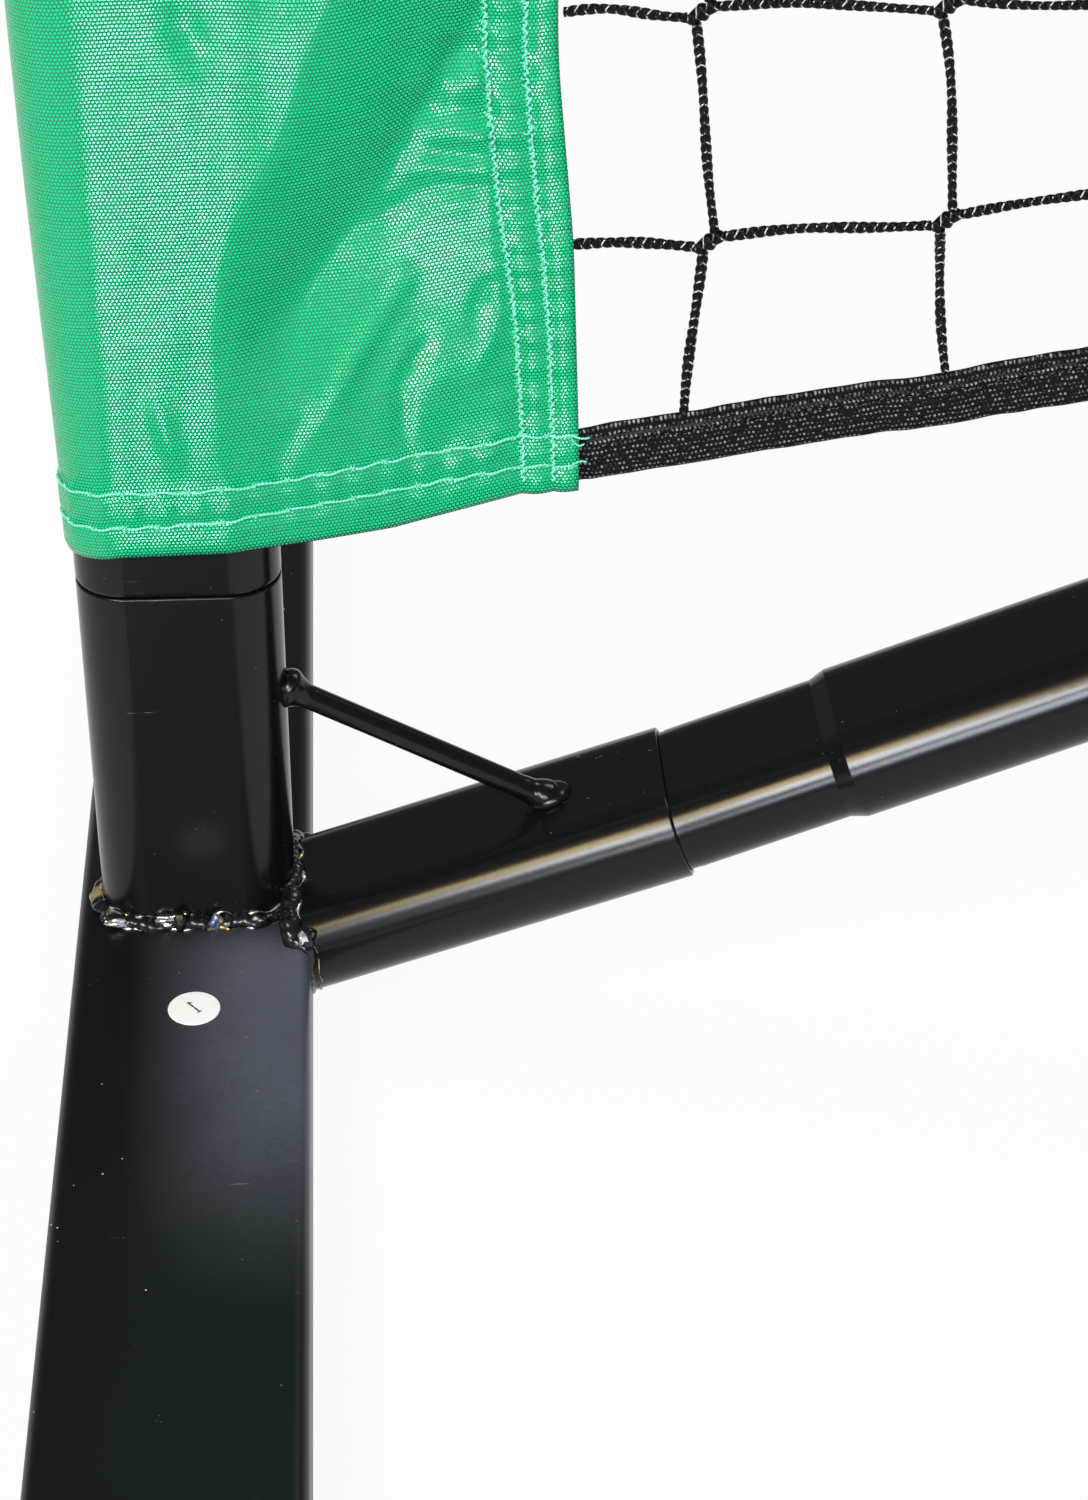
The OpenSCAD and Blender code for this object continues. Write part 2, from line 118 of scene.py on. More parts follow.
class Paint:
    """One finish: a material, or the world, whose nodes are written as sums of Values."""

    def __init__(self, name, owner=None):
        self.owner = owner or bpy.data.materials.new(name)
        self.owner.use_nodes = True
        self.tree = self.owner.node_tree
        self.tree.nodes.clear()

    def add(self, kind, settings=None, sockets=None, out=0):
        """Adds a node: its settings first, then numbers or links into its sockets, by name or place."""
        node = self.tree.nodes.new(kind)
        for key, value in (settings or {}).items():
            setattr(node, key, value)
        for key, value in (sockets or {}).items():
            if isinstance(value, Value):
                self.tree.links.new(value.socket, node.inputs[key])
            else:
                node.inputs[key].default_value = value
        return Value(self, node.outputs[out] if len(node.outputs) else None)

    def xyz(self, place):
        """The three numbers of a place."""
        parts = self.add("ShaderNodeSeparateXYZ", None, {0: place})
        return [Value(self, socket) for socket in parts.socket.node.outputs]

    def join(self, x, y, z=0.0):
        return self.add("ShaderNodeCombineXYZ", None, {0: x, 1: y, 2: z})

    def place(self):
        """The point in the object's own frame, in metres."""
        return self.add("ShaderNodeTexCoord", out=3)

    def cloth(self):
        """The point in the flat cloth or along the cord, in millimetres."""
        return self.add("ShaderNodeUVMap", {"uv_map": "flat"})

    def noise(self, place, scale, detail=2.0, rough=0.5, stretch=None):
        if stretch:
            place = self.add("ShaderNodeMapping", {"vector_type": "POINT"}, {0: place, 3: stretch})
        return self.add("ShaderNodeTexNoise", {"noise_dimensions": "3D"},
                        {0: place, 2: scale, 3: detail, 4: rough})

    def cells(self, place, scale):
        return self.add("ShaderNodeTexVoronoi", None, {"Vector": place, "Scale": scale})

    def mix(self, share, first, second):
        """Colour between two colours."""
        first, second = (c if isinstance(c, Value) else (*c, 1.0) for c in (first, second))
        return self.add("ShaderNodeMix", {"data_type": "RGBA"}, {0: share, 6: first, 7: second}, out=2)

    def facets(self, lean_u, lean_v):
        """Normal that leans by two slopes along the cloth's own directions."""
        tilt = self.join(lean_u * 0.5 + 0.5, lean_v * 0.5 + 0.5, 1.0)
        return self.add("ShaderNodeNormalMap", {"space": "TANGENT", "uv_map": "flat"}, {"Color": tilt})

    def finish(self, base, rough, height=None, normal=None, **constants):
        """Principled surface. Height is in metres; constants go on their own sockets."""
        sockets = {"Base Color": base, "Roughness": rough}
        if normal is not None:
            sockets["Normal"] = normal
        if height is not None:
            bump = {"Strength": 1.0, "Distance": 1.0, "Height": height}
            sockets["Normal"] = self.add("ShaderNodeBump", None, bump)
        sockets.update({key.replace("_", " "): value for key, value in constants.items()})
        return self.show(self.add("ShaderNodeBsdfPrincipled", None, sockets))

    def show(self, shader):
        self.add("ShaderNodeOutputMaterial", None, {0: shader})
        return self.owner


# ---- stage and light ----

CORNER = np.array([-1.44, 0.0, 0.10])


def softbox(name, turn, climb, far, size, radiance, colour, roll=0.0):
    """Rectangular lamp of an even radiance, turned by roll about its beam and aimed at the corner."""
    data = bpy.data.lights.new(name, "AREA")
    data.shape, data.size, data.size_y = "RECTANGLE", *size
    data.energy = radiance * PI * size[0] * size[1]
    data.color = colour
    back = direction(turn, climb)
    side = unit(np.cross([0, 0, 1.0], back))
    up = np.cross(back, side)
    c, s = np.cos(np.radians(roll)), np.sin(np.radians(roll))
    stand(name, data, c * side + s * up, c * up - s * side, back, CORNER + far * back)


def seen(paint):
    """1 for rays from the camera, off gloss or through glass."""
    rays = paint.add("ShaderNodeLightPath").socket.node.outputs
    camera, gloss, glass = (Value(paint, rays[f"Is {kind} Ray"])
                            for kind in ("Camera", "Glossy", "Transmission"))
    return camera.high(gloss).high(glass)


def floor_finish():
    """Pale floor that takes the shadow, lifted to white where it is seen."""
    p = Paint("pale_floor")
    lit = p.add("ShaderNodeBsdfDiffuse", None, {"Color": (0.62, 0.62, 0.62, 1.0)})
    glow = p.add("ShaderNodeEmission", None, {"Color": (1.0, 1.0, 1.0, 1.0), "Strength": 1.0})
    return p.show(p.add("ShaderNodeMixShader", None, {0: seen(p) * 0.95, 1: lit, 2: glow}))


ground = bpy.data.meshes.new("floor")
ground.from_pydata([(-300, -300, 0), (300, -300, 0), (300, 300, 0), (-300, 300, 0)], [], [(0, 1, 2, 3)])
ground.materials.append(floor_finish())
floor = bpy.data.objects.new("floor", ground)
scene.collection.objects.link(floor)

scene.world = bpy.data.worlds.new("room")
room = Paint("room", scene.world)
upward = room.xyz(room.add("ShaderNodeTexCoord"))[2]
shade = room.mix(upward.step(0.085, 0.14), (1.0, 1.0, 1.0), (0.14, 0.15, 0.165))
room.add("ShaderNodeOutputWorld", None, {0: room.add("ShaderNodeBackground", None, {0: shade, 1: 1.0})})

softbox("window_light", -157.5, 40.5, 5.75, (1.30, 0.90), 48.0, (0.94, 0.97, 1.0), -24)
softbox("window_warm", -144, 49.0, 5.75, (1.45, 0.90), 30.0, (1.0, 0.79, 0.43), -24)
softbox("window_cool", -170.5, 26.5, 5.75, (0.90, 1.25), 35.0, (0.80, 0.89, 1.0), -14)
softbox("near_lamp", 179, 33, 4.0, (0.38, 0.34), 48.0, (0.82, 0.95, 1.0))
softbox("back_light", 48, 55, 6.5, (2.20, 2.20), 7.0, (0.84, 0.92, 1.0))


# ---- finishes ----


def powder_black(name="powder_black", dullness_and_sheen=0.0):
    """Black powder coat: fine orange peel, matt dust and short pale scuffs. On the foot bars, which are walked
    on, it is rougher, with pale specks, and a bluish sheen is painted into its colour in front of the post: a
    painted reflection.
    """
    p = Paint(name)
    at = p.place()
    cloudy = p.noise(at, 45.0, 3.0)
    peel = p.noise(at, 1500.0, 1.0) * 0.6 + p.noise(at, 650.0, 1.0)
    grit = p.noise(at, 5200.0, 1.0)
    scuff = p.noise(at, 60.0, 3.0, 0.6, stretch=(1.0, 14.0, 14.0)).step(0.70, 0.76)
    scuff = scuff * p.noise(at, 16.0, 2.0).step(0.52, 0.62)
    dust = (1.0 - p.cells(at, 420.0).step(0.035, 0.10)) * p.noise(at, 90.0, 2.0).step(0.58, 0.70)
    marks = (scuff * 0.55).high(dust * 0.75)
    black = (0.0040, 0.0041, 0.0045)
    if dullness_and_sheen:
        x, y, _ = p.xyz(at)
        in_post, ahead = SPAN / 2 - abs(x) * 1000.0, y * -1000.0
        # painted reflection: a bluish sheen painted into the colour of the foot in front of the post, on the
        # net's side of its axis, mottled by the grain below
        grain = 0.55 + 0.45 * cloudy + 0.45 * p.noise(at, 1100.0, 2.0)
        painted_sheen = in_post.step(-15.0, 15.0) * ahead.step(6.0, 22.0) * (1.0 - ahead.step(48.0, 128.0)) * grain
        black = p.mix(painted_sheen, black, (0.080, 0.088, 0.115))
    base = p.mix(marks, black, (0.19, 0.19, 0.185))
    if dullness_and_sheen:
        specks = (1.0 - p.cells(at, 260.0).step(0.030, 0.062)) * p.noise(at, 75.0, 2.0).step(0.50, 0.60)
        base = p.mix(specks, base, (0.62, 0.62, 0.60))
    rough = 0.175 + dullness_and_sheen + cloudy * 0.07 + marks * 0.25
    return p.finish(base, rough, (peel * 0.0000055 + grit * 0.0000012), Specular_IOR_Level=0.27)


def weld_black():
    """Painted weld: glossy black over coarse ripples, with patches of straw and blue painted into its colour as
    glints: painted highlights.
    """
    p = Paint("weld_black")
    at = p.place()
    # painted highlights: patches of straw and blue painted into the weld's colour as glints
    glinting = p.noise(at, 170.0, 3.0, 0.6).step(0.60, 0.70)
    tint = p.mix(p.noise(at, 110.0, 1.0).step(0.42, 0.60), (0.40, 0.30, 0.14), (0.30, 0.36, 0.46))
    base = p.mix(glinting * 0.6, (0.006, 0.006, 0.007), tint)
    height = p.noise(at, 900.0, 2.0) * 0.00004 + p.noise(at, 260.0, 2.0) * 0.00010
    return p.finish(base, 0.17 + 0.12 * p.noise(at, 400.0), height, Specular_IOR_Level=0.45)


def weld_bare():
    """Bare bright weld metal where the coat has drawn off: silver with straw and blue tempering."""
    p = Paint("weld_bare")
    at = p.place()
    straw = p.noise(at, 130.0, 1.0).step(0.52, 0.62)
    tint = p.mix(straw, (0.80, 0.82, 0.86), (0.74, 0.53, 0.24))
    tint = p.mix(p.noise(at, 210.0, 1.0).step(0.60, 0.70), tint, (0.26, 0.38, 0.62))
    covered = p.noise(at, 420.0, 2.0).step(0.54, 0.64)
    base = p.mix(covered, tint, (0.02, 0.02, 0.02))
    height = p.noise(at, 1100.0, 2.0) * 0.00005
    return p.finish(base, 0.20 + 0.10 * p.noise(at, 500.0), height, Metallic=0.85)


def boot_rubber():
    """Moulded black rubber with a fine grain and dusty smears."""
    p = Paint("boot_rubber")
    at = p.place()
    dusty = p.noise(at, 38.0, 4.0, 0.6).step(0.48, 0.78)
    base = p.mix(dusty * 0.5, (0.010, 0.010, 0.010), (0.055, 0.053, 0.050))
    grain = p.cells(at, 1300.0) * 0.00003 + p.noise(at, 5000.0, 1.0) * 0.00001
    return p.finish(base, 0.62 + 0.12 * dusty, grain, Specular_IOR_Level=0.35)


def cap_plastic():
    """Moulded plastic with a faint spark-eroded texture."""
    p = Paint("cap_plastic")
    at = p.place()
    base = p.mix(p.noise(at, 90.0, 3.0), (0.008, 0.008, 0.009), (0.014, 0.014, 0.015))
    pitted = p.noise(at, 2600.0, 2.0) * 0.00002
    return p.finish(base, 0.42 + 0.10 * p.noise(at, 300.0), pitted, Specular_IOR_Level=0.4)


def yarns(u, v, across, along):
    """Place in -1..1 on one yarn crown of a plain weave, with every second row half a crown over."""
    row = v / along
    return ((u / across + (row.floor() % 2.0) * 0.5) % 1.0) * 2.0 - 1.0, (row % 1.0) * 2.0 - 1.0


def domes(u, v, across, along, flat=0.45):
    """Staggered domes of a plain weave: 1 on a crown and 0 in the gap, curved more along v than along u."""
    x, y = yarns(u, v, across, along)
    return (1.0 - x * x * flat - y * y).high(0.0)


def sleeve_cloth():
    """Coated green oxford cloth. Rows of yarn crowns, every second row half a crown over: a round crown
    looks up and is slightly rounded across, and what lies between the crowns looks down, with painted
    shade in the gaps, a deeper green painted into the colour; slubs and warp shift them a little, so that
    the gloss runs over the cloth in dots."""
    p = Paint("sleeve_cloth")
    u, v, _ = p.xyz(p.cloth())
    slub = p.noise(p.join(u * 0.06, v * 1.2), 1.0, 2.0) - 0.5
    x, y = yarns(u, v + slub * 0.22, 0.74, 0.68)
    wander = p.noise(p.join(u * 0.35, v * 0.35), 1.0, 2.0) - 0.5
    crown = ((0.56 - x * x - (y - 0.10) * (y - 0.10)) * 6.0).high(-1.0).low(1.0)
    lean_v = crown * 0.50 + y * 0.07 + wander * 0.05
    lean_u = x * 0.13 + wander * 0.03
    gap = (x * x + y * y * 0.8).step(0.38, 1.00)
    # painted shade: the gaps between the crowns are painted a deeper green
    green = p.mix(gap, (0.0057, 0.540, 0.224), (0.0026, 0.180, 0.077))
    worn = p.noise(p.place(), 30.0, 3.0).step(0.45, 0.75)
    green = p.mix(worn * 0.10, green, (0.015, 0.46, 0.22))
    return p.finish(green, 0.13 + 0.03 * gap, normal=p.facets(lean_u, lean_v), Specular_IOR_Level=0.40)


def thread(name, hollow_shade, crown, rough):
    """Bonded thread with its twist: pale on each ply, with painted shade, a darker colour, in the hollows."""
    p = Paint(name)
    u, v, _ = p.xyz(p.cloth())
    ply = ((v * 9.0 + u * TURN).sin() + 1.0) * 0.5
    # painted shade: the colour darkens where the twist dips
    return p.finish(p.mix(ply, hollow_shade, crown), rough, ply * 0.00004)


def net_cord():
    """Black braided twine: stitches lie in V shapes along the cord, with pale ticks painted on them in patches
    as their filaments' glints: painted highlights.
    """
    p = Paint("net_cord")
    u, v, _ = p.xyz(p.cloth())
    around = abs((u % 1.0) * 2.0 - 1.0)
    along = v / BRAID_PITCH + around * BRAID_SLANT
    stitch = (along * TURN).sin()
    fibre = ((v / 0.42 - around * 5.0) * TURN).sin()
    height = stitch * 0.00010 + fibre * 0.00003
    part = along % 1.0
    # painted highlights: pale ticks on one edge of each stitch, in patches, stand for filament glints
    tick = part.step(0.08, 0.16) * (1.0 - part.step(0.20, 0.32))
    painted_glint = tick * p.noise(p.join(u * 4.0, v * 1.6), 1.0, 2.0).step(0.49, 0.60)
    base = p.mix(painted_glint, (0.0024, 0.0026, 0.0030), (0.74, 0.76, 0.78))
    return p.finish(base, 0.30, height, Specular_IOR_Level=0.14)


def tape_weave():
    """Black webbing: rows along its length, with pale specks painted on the crowns of its weave as sparkle:
    painted highlights.
    """
    p = Paint("tape_weave")
    u, v, _ = p.xyz(p.cloth())
    dome = domes(v, u, 0.86, 1.10, 0.8)
    # painted highlights: pale specks on the weave's crowns, in patches chosen by the noise below
    lit = p.noise(p.join(v * 0.8, u * 1.3), 1.0, 2.0).step(0.44, 0.62)
    painted_sparkle = dome.step(0.60, 0.95) * lit
    base = p.mix(painted_sparkle, (0.0024, 0.0025, 0.0029), (0.27, 0.28, 0.32))
    return p.finish(base, 0.34, dome * 0.00009, Specular_IOR_Level=0.12)


def band_cloth():
    """White coated band cloth with a fine weave pressed through the coating."""
    p = Paint("band_cloth")
    u, v, _ = p.xyz(p.cloth())
    at = p.place()
    dome = domes(v, u, 0.8, 0.7)
    soil = p.noise(at, 14.0, 4.0, 0.6).step(0.50, 0.85)
    base = p.mix(soil * 0.35, (0.72, 0.73, 0.71), (0.56, 0.55, 0.51))
    return p.finish(base, 0.40 + 0.14 * soil, dome * 0.00005, Specular_IOR_Level=0.45)


def rope():
    """Laid cord: three strands twist round its axis, which runs along the net."""
    p = Paint("rope")
    x, y, z = p.xyz(p.place())
    spiral = (((z - 0.7963).turn(y)) * 3.0 + x * 620.0).sin()
    # painted shade: the colour is darker in the grooves between the strands
    base = p.mix(spiral.step(-0.9, 0.5), (0.26, 0.25, 0.21), (0.66, 0.63, 0.54))
    return p.finish(base, 0.72, spiral * 0.0003 + p.noise(p.place(), 2500.0) * 0.00008, Specular_IOR_Level=0.25)


def sticker_white():
    """Matt white paper label, faintly soiled in patches."""
    p = Paint("sticker_white")
    at = p.place()
    soil = p.noise(at, 400.0, 3.0).step(0.52, 0.80)
    paper = p.mix(soil * 0.25, (0.94, 0.95, 0.95), (0.74, 0.73, 0.70))
    return p.finish(paper, 0.55, p.noise(at, 2500.0) * 0.000008)


def sticker_ink():
    """Matt ballpoint ink, uneven in its black."""
    p = Paint("sticker_ink")
    return p.finish(p.mix(p.noise(p.place(), 2500.0), (0.010, 0.010, 0.012), (0.045, 0.045, 0.048)), 0.5)


# ---- surfaces ----


def new_surface(name, grids, finish, body, side=-1, solid=0.0):
    """One mesh from grids of points. A grid is (points, flat): points[..., i, j] in millimetres of the
    post's frame and flat[..., i, j] its place in the cloth. Each quad joins neighbours i and j; it faces
    outwards where i runs round anticlockwise and j upwards. Doubles are merged, which closes seams."""
    corners, places, flats, count = [], [], [], 0
    for points, flat in grids:
        points = points.reshape(-1, *points.shape[-3:])
        many, nu, nv = points.shape[:3]
        first = np.arange(count, count + many * nu * nv).reshape(many, nu, nv)[:, :-1, :-1]
        corners.append(first.reshape(-1, 1) + [0, nv, nv + 1, 1])
        places.append(points.reshape(-1, 3))
        flats.append(np.broadcast_to(flat, points.shape[:-1] + (2,)).reshape(-1, 2))
        count += many * nu * nv
    corners, places, flats = map(np.concatenate, (corners, places, flats))
    if side > 0:
        corners = corners[:, ::-1]
    where = np.stack([side * (SPAN / 2 - places[:, 0]), places[:, 1], places[:, 2]], 1) * 0.001
    mesh = bpy.data.meshes.new(name)
    mesh.vertices.add(len(where))
    mesh.vertices.foreach_set("co", where.astype(np.float32).ravel())
    mesh.loops.add(corners.size)
    mesh.loops.foreach_set("vertex_index", corners.astype(np.int32).ravel())
    mesh.polygons.add(len(corners))
    mesh.polygons.foreach_set("loop_start", (np.arange(len(corners)) * 4).astype(np.int32))
    mesh.update(calc_edges=True)
    layer = mesh.uv_layers.new(name="flat")
    layer.data.foreach_set("uv", flats[corners].astype(np.float32).ravel())
    form = bmesh.new()
    form.from_mesh(mesh)
    bmesh.ops.remove_doubles(form, verts=form.verts, dist=1e-7)
    form.to_mesh(mesh)
    form.free()
    mesh.polygons.foreach_set("use_smooth", np.ones(len(mesh.polygons), bool))
    mesh.materials.append(finish)
    obj = bpy.data.objects.new(name, mesh)
    scene.collection.objects.link(obj)
    if solid:
        wall = obj.modifiers.new("wall", "SOLIDIFY")
        wall.thickness, wall.offset = solid * 0.001, -1.0
    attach(obj, body)
    return obj


def flat_at(across, along):
    """Places in the flat cloth, or round and along a cord, from two arrays."""
    return np.stack(np.broadcast_arrays(across, along), -1)


def travelled(points, axis):
    """Length run over a grid of points along one of its axes, from 0."""
    steps = np.linalg.norm(np.diff(points, axis=axis), axis=-1)
    return np.concatenate([np.zeros_like(np.take(steps, [0], axis)), np.cumsum(steps, axis)], axis)


def closed(radius):
    """Radii along a cord with its two ends drawn to a point."""
    radius[..., [0, -1]] = 0
    return radius


def tubes(paths, radius, sides, stitch=0.0, squeeze=(1.0,)):
    """Round cords along paths[..., k, :]: each ring stands square to the path, with radius[..., k]; the
    first and last radius is 0, which closes the ends. A braid swells the ring by stitch where its V
    shaped stitches pass, and squeeze thins it from front to back. Gives (points, flat) for new_surface."""
    ahead = unit(np.gradient(paths, axis=-2))
    side = unit(np.cross(ahead, [0.0, -1.0, 0.0]))
    front = np.cross(side, ahead)
    turn = np.linspace(0.0, TURN, sides + 1)[:, None]
    angle, length = np.broadcast_arrays(turn, travelled(paths, paths.ndim - 2)[..., None, :])
    ring = radius[..., None, :]
    if stitch:
        slant = np.abs((angle / PI) % 2.0 - 1.0) * BRAID_SLANT
        ring = ring * (1.0 + stitch * (2.0 * np.abs(np.sin(PI * (length / BRAID_PITCH + slant))) - 1.3))
    thin = np.asarray(squeeze)[..., None, :, None]
    points = (paths[..., None, :, :] + (np.cos(angle) * ring)[..., None] * front[..., None, :, :] * thin
              + (np.sin(angle) * ring)[..., None] * side[..., None, :, :])
    return points, flat_at(angle / TURN, length)


def oval(turns, width, thick):
    """Flat oval round the origin: a half circle at each end and straight sides, by share of its length."""
    flat, r = width - thick, thick / 2.0
    bend = PI * r
    s = (turns % 1.0) * (2 * flat + 2 * PI * r)
    parts = [s < bend, s < bend + flat, s < 2 * bend + flat]
    a = np.where(parts[0], s / r - PI / 2, (s - bend - flat) / r + PI / 2)
    x = [flat / 2 + r * np.cos(a), flat / 2 - (s - bend), -flat / 2 + r * np.cos(a)]
    y = [r * np.sin(a), r + 0 * a, r * np.sin(a)]
    return np.select(parts, x, -flat / 2 + (s - 2 * bend - flat)), np.select(parts, y, -r)


def ripple(size, seed, *values):
    """Even wandering in -1..1: a sum of sines of the given places with seeded directions and starts."""
    rng = np.random.default_rng(seed)
    total = 0.0
    for _ in range(6):
        way = rng.normal(size=len(values))
        way /= np.linalg.norm(way)
        pace, start = rng.uniform(0.6, 1.6), rng.uniform(0, TURN)
        total = total + np.sin(sum(w * v for w, v in zip(way, values)) * (TURN / size) * pace + start)
    return total / 2.6


def ramp(x, start, end):
    """0 before start, 1 after end, and an even climb between."""
    return np.clip((x - start) / (end - start), 0.0, 1.0)


def rise(x, start, end):
    """0 before start, 1 after end, and a smooth rise between."""
    t = ramp(x, start, end)
    return t * t * (3 - 2 * t)


def inboard(x, length, start, end):
    """0 nearer than start to either end of a length, 1 farther than end, and a smooth rise between."""
    return rise(x, start, end) * rise(length - x, start, end)


def bell(x, middle, reach):
    """1 in the middle, and a smooth fall to both sides."""
    return np.exp(-((x - middle) / reach) ** 2)


# ---- sleeves ----

SLEEVE_TOP, CLOTH, QUARTER = 800.0, 0.6, 0.165
SLEEVE_ROUND, HEM_STITCHES = 212.0, 34
HEM_EDGE = ([-24, -21, -10, 10, 27, 42, 66, 78], [112.6, 112.9, 114.5, 115.0, 115.7, 116.7, 121.0, 121.6])
HEM_LOW = ([-24, -21, -11.5, -2, 15, 30, 45, 62, 71, 78],
           [119.4, 119.9, 121.0, 121.2, 122.4, 123.8, 125.2, 126.7, 127.4, 127.0])
HEM_HIGH = ([-24, -21, -12, 2, 13, 30, 43, 59, 68, 78],
            [126.8, 127.2, 128.4, 128.6, 128.9, 130.1, 131.5, 132.8, 133.9, 133.7])


def table(z, *pairs, soft=7.0):
    """Smoothed line through (height, value) pairs."""
    at, value = np.array(pairs, float).T
    fine = np.arange(90.0, 840.0, 1.0)
    line = np.interp(fine, at, value)
    kernel = np.exp(-0.5 * (np.arange(-30, 31) / soft) ** 2)
    line = np.convolve(np.pad(line, 30, "edge"), kernel / kernel.sum(), "valid")
    return np.interp(z, fine, line)


def free_edge(z):
    """Reach of the sleeve's free edge from the post's axis; folds in the cloth draw it in."""
    return table(z, (90, 77.9), (131, 77.7), (174, 76.0), (191, 74.4), (208, 72.8), (222, 72.5), (260, 73.6),
                 (320, 75.2), (380, 74.1), (440, 75.4), (510, 73.7), (590, 75.2), (660, 74.2), (715, 75.8),
                 (750, 77.0), (830, 77.0), soft=4.0)


def seam_lines(z):
    """Places of the two rows of stitching beside the free edge."""
    edge = free_edge(z)
    inner = table(z, (90, 10.4), (157, 11.1), (179, 13.2), (220, 12.9), (280, 12.0), (830, 12.0), soft=4.0)
    outer = table(z, (90, 4.9), (157, 5.1), (179, 6.2), (220, 5.8), (280, 5.4), (830, 5.4), soft=4.0)
    return edge - inner, edge - outer


FOLD = [(90, 14, 22, 0), (142, 13, 21, 0), (151, 11.4, 21.4, 0.2), (161, 11.4, 23.8, 0.8),
        (172, 13.8, 26.8, 1), (187.5, 22.6, 36.4, 1), (194, 27.6, 41.2, 1), (209, 32.6, 50.2, 1),
        (222, 36.8, 58.4, 1), (245, 46, 64, 1), (275, 48, 64, 1), (300, 40, 57, 0.9), (340, 24, 44, 0.8),
        (380, 12, 27, 0.8), (430, 11, 24, 0.7), (470, 22, 37, 0.9), (520, 38, 54, 1), (560, 43, 60, 0.9),
        (610, 30, 47, 0.8), (650, 14, 31, 0.8), (700, 11, 26, 0.5), (742, 18, 34, 0.1), (830, 20, 36, 0)]
CREASES = [(45.3, 168.4, 32.1, 147.2, 2.0, 0.45), (49.6, 156.0, 43.9, 146.5, 1.6, -0.55),
           (43.9, 146.5, 44.2, 135.0, 1.6, -0.45), (59.9, 166.0, 57.4, 157.5, 1.3, -0.40),
           (62.9, 161.5, 59.9, 150.5, 1.5, 0.40), (-1.5, 149.0, 1.6, 134.5, 1.8, 0.45),
           (50.0, 209.0, 57.0, 196.0, 3.4, 0.55), (57.0, 208.0, 65.0, 203.0, 2.6, 0.45),
           (58.0, 197.0, 66.0, 191.0, 2.4, 0.45), (60.0, 192.0, 63.0, 180.0, 2.2, 0.40),
           (6.5, 225.0, 9.5, 213.5, 3.2, -0.55), (38.0, 178.0, 52.0, 186.0, 3.0, -0.40),
           (28.0, 139.0, 38.0, 158.0, 2.6, 0.30), (64.8, 176.0, 66.6, 140.0, 1.2, -0.30),
           (20.0, 132.0, 26.0, 144.0, 2.4, -0.28)]


def more_creases(seed, low, high, many):
    """Seeded short diagonal creases between two heights: (x0, z0, x1, z1, width, depth)."""
    rng = np.random.default_rng(seed)
    x, z, lean = rng.uniform(4, 60, many), rng.uniform(low, high, many), rng.uniform(-1.0, 1.0, many)
    long, wide, deep = rng.uniform(8, 26, many), rng.uniform(1.6, 3.6, many), rng.uniform(-0.6, 0.6, many)
    return np.stack([x, z, x + long * np.sin(lean), z + long * np.cos(lean), wide, deep], 1)


def crease_lift(x, z, creases):
    """Lift of the cloth by its creases: each is a bell across its line, fading past its ends."""
    lift = 0.0
    for x0, z0, x1, z1, wide, deep in creases:
        dx, dz = x1 - x0, z1 - z0
        t = np.clip(((x - x0) * dx + (z - z0) * dz) / (dx * dx + dz * dz), 0, 1)
        away = (x - x0 - t * dx) ** 2 + (z - z0 - t * dz) ** 2
        lift = lift + deep * np.exp(-away / (wide * wide)) * (0.35 + 0.65 * np.sin(PI * np.clip(t, 0.02, 0.98)))
    return lift


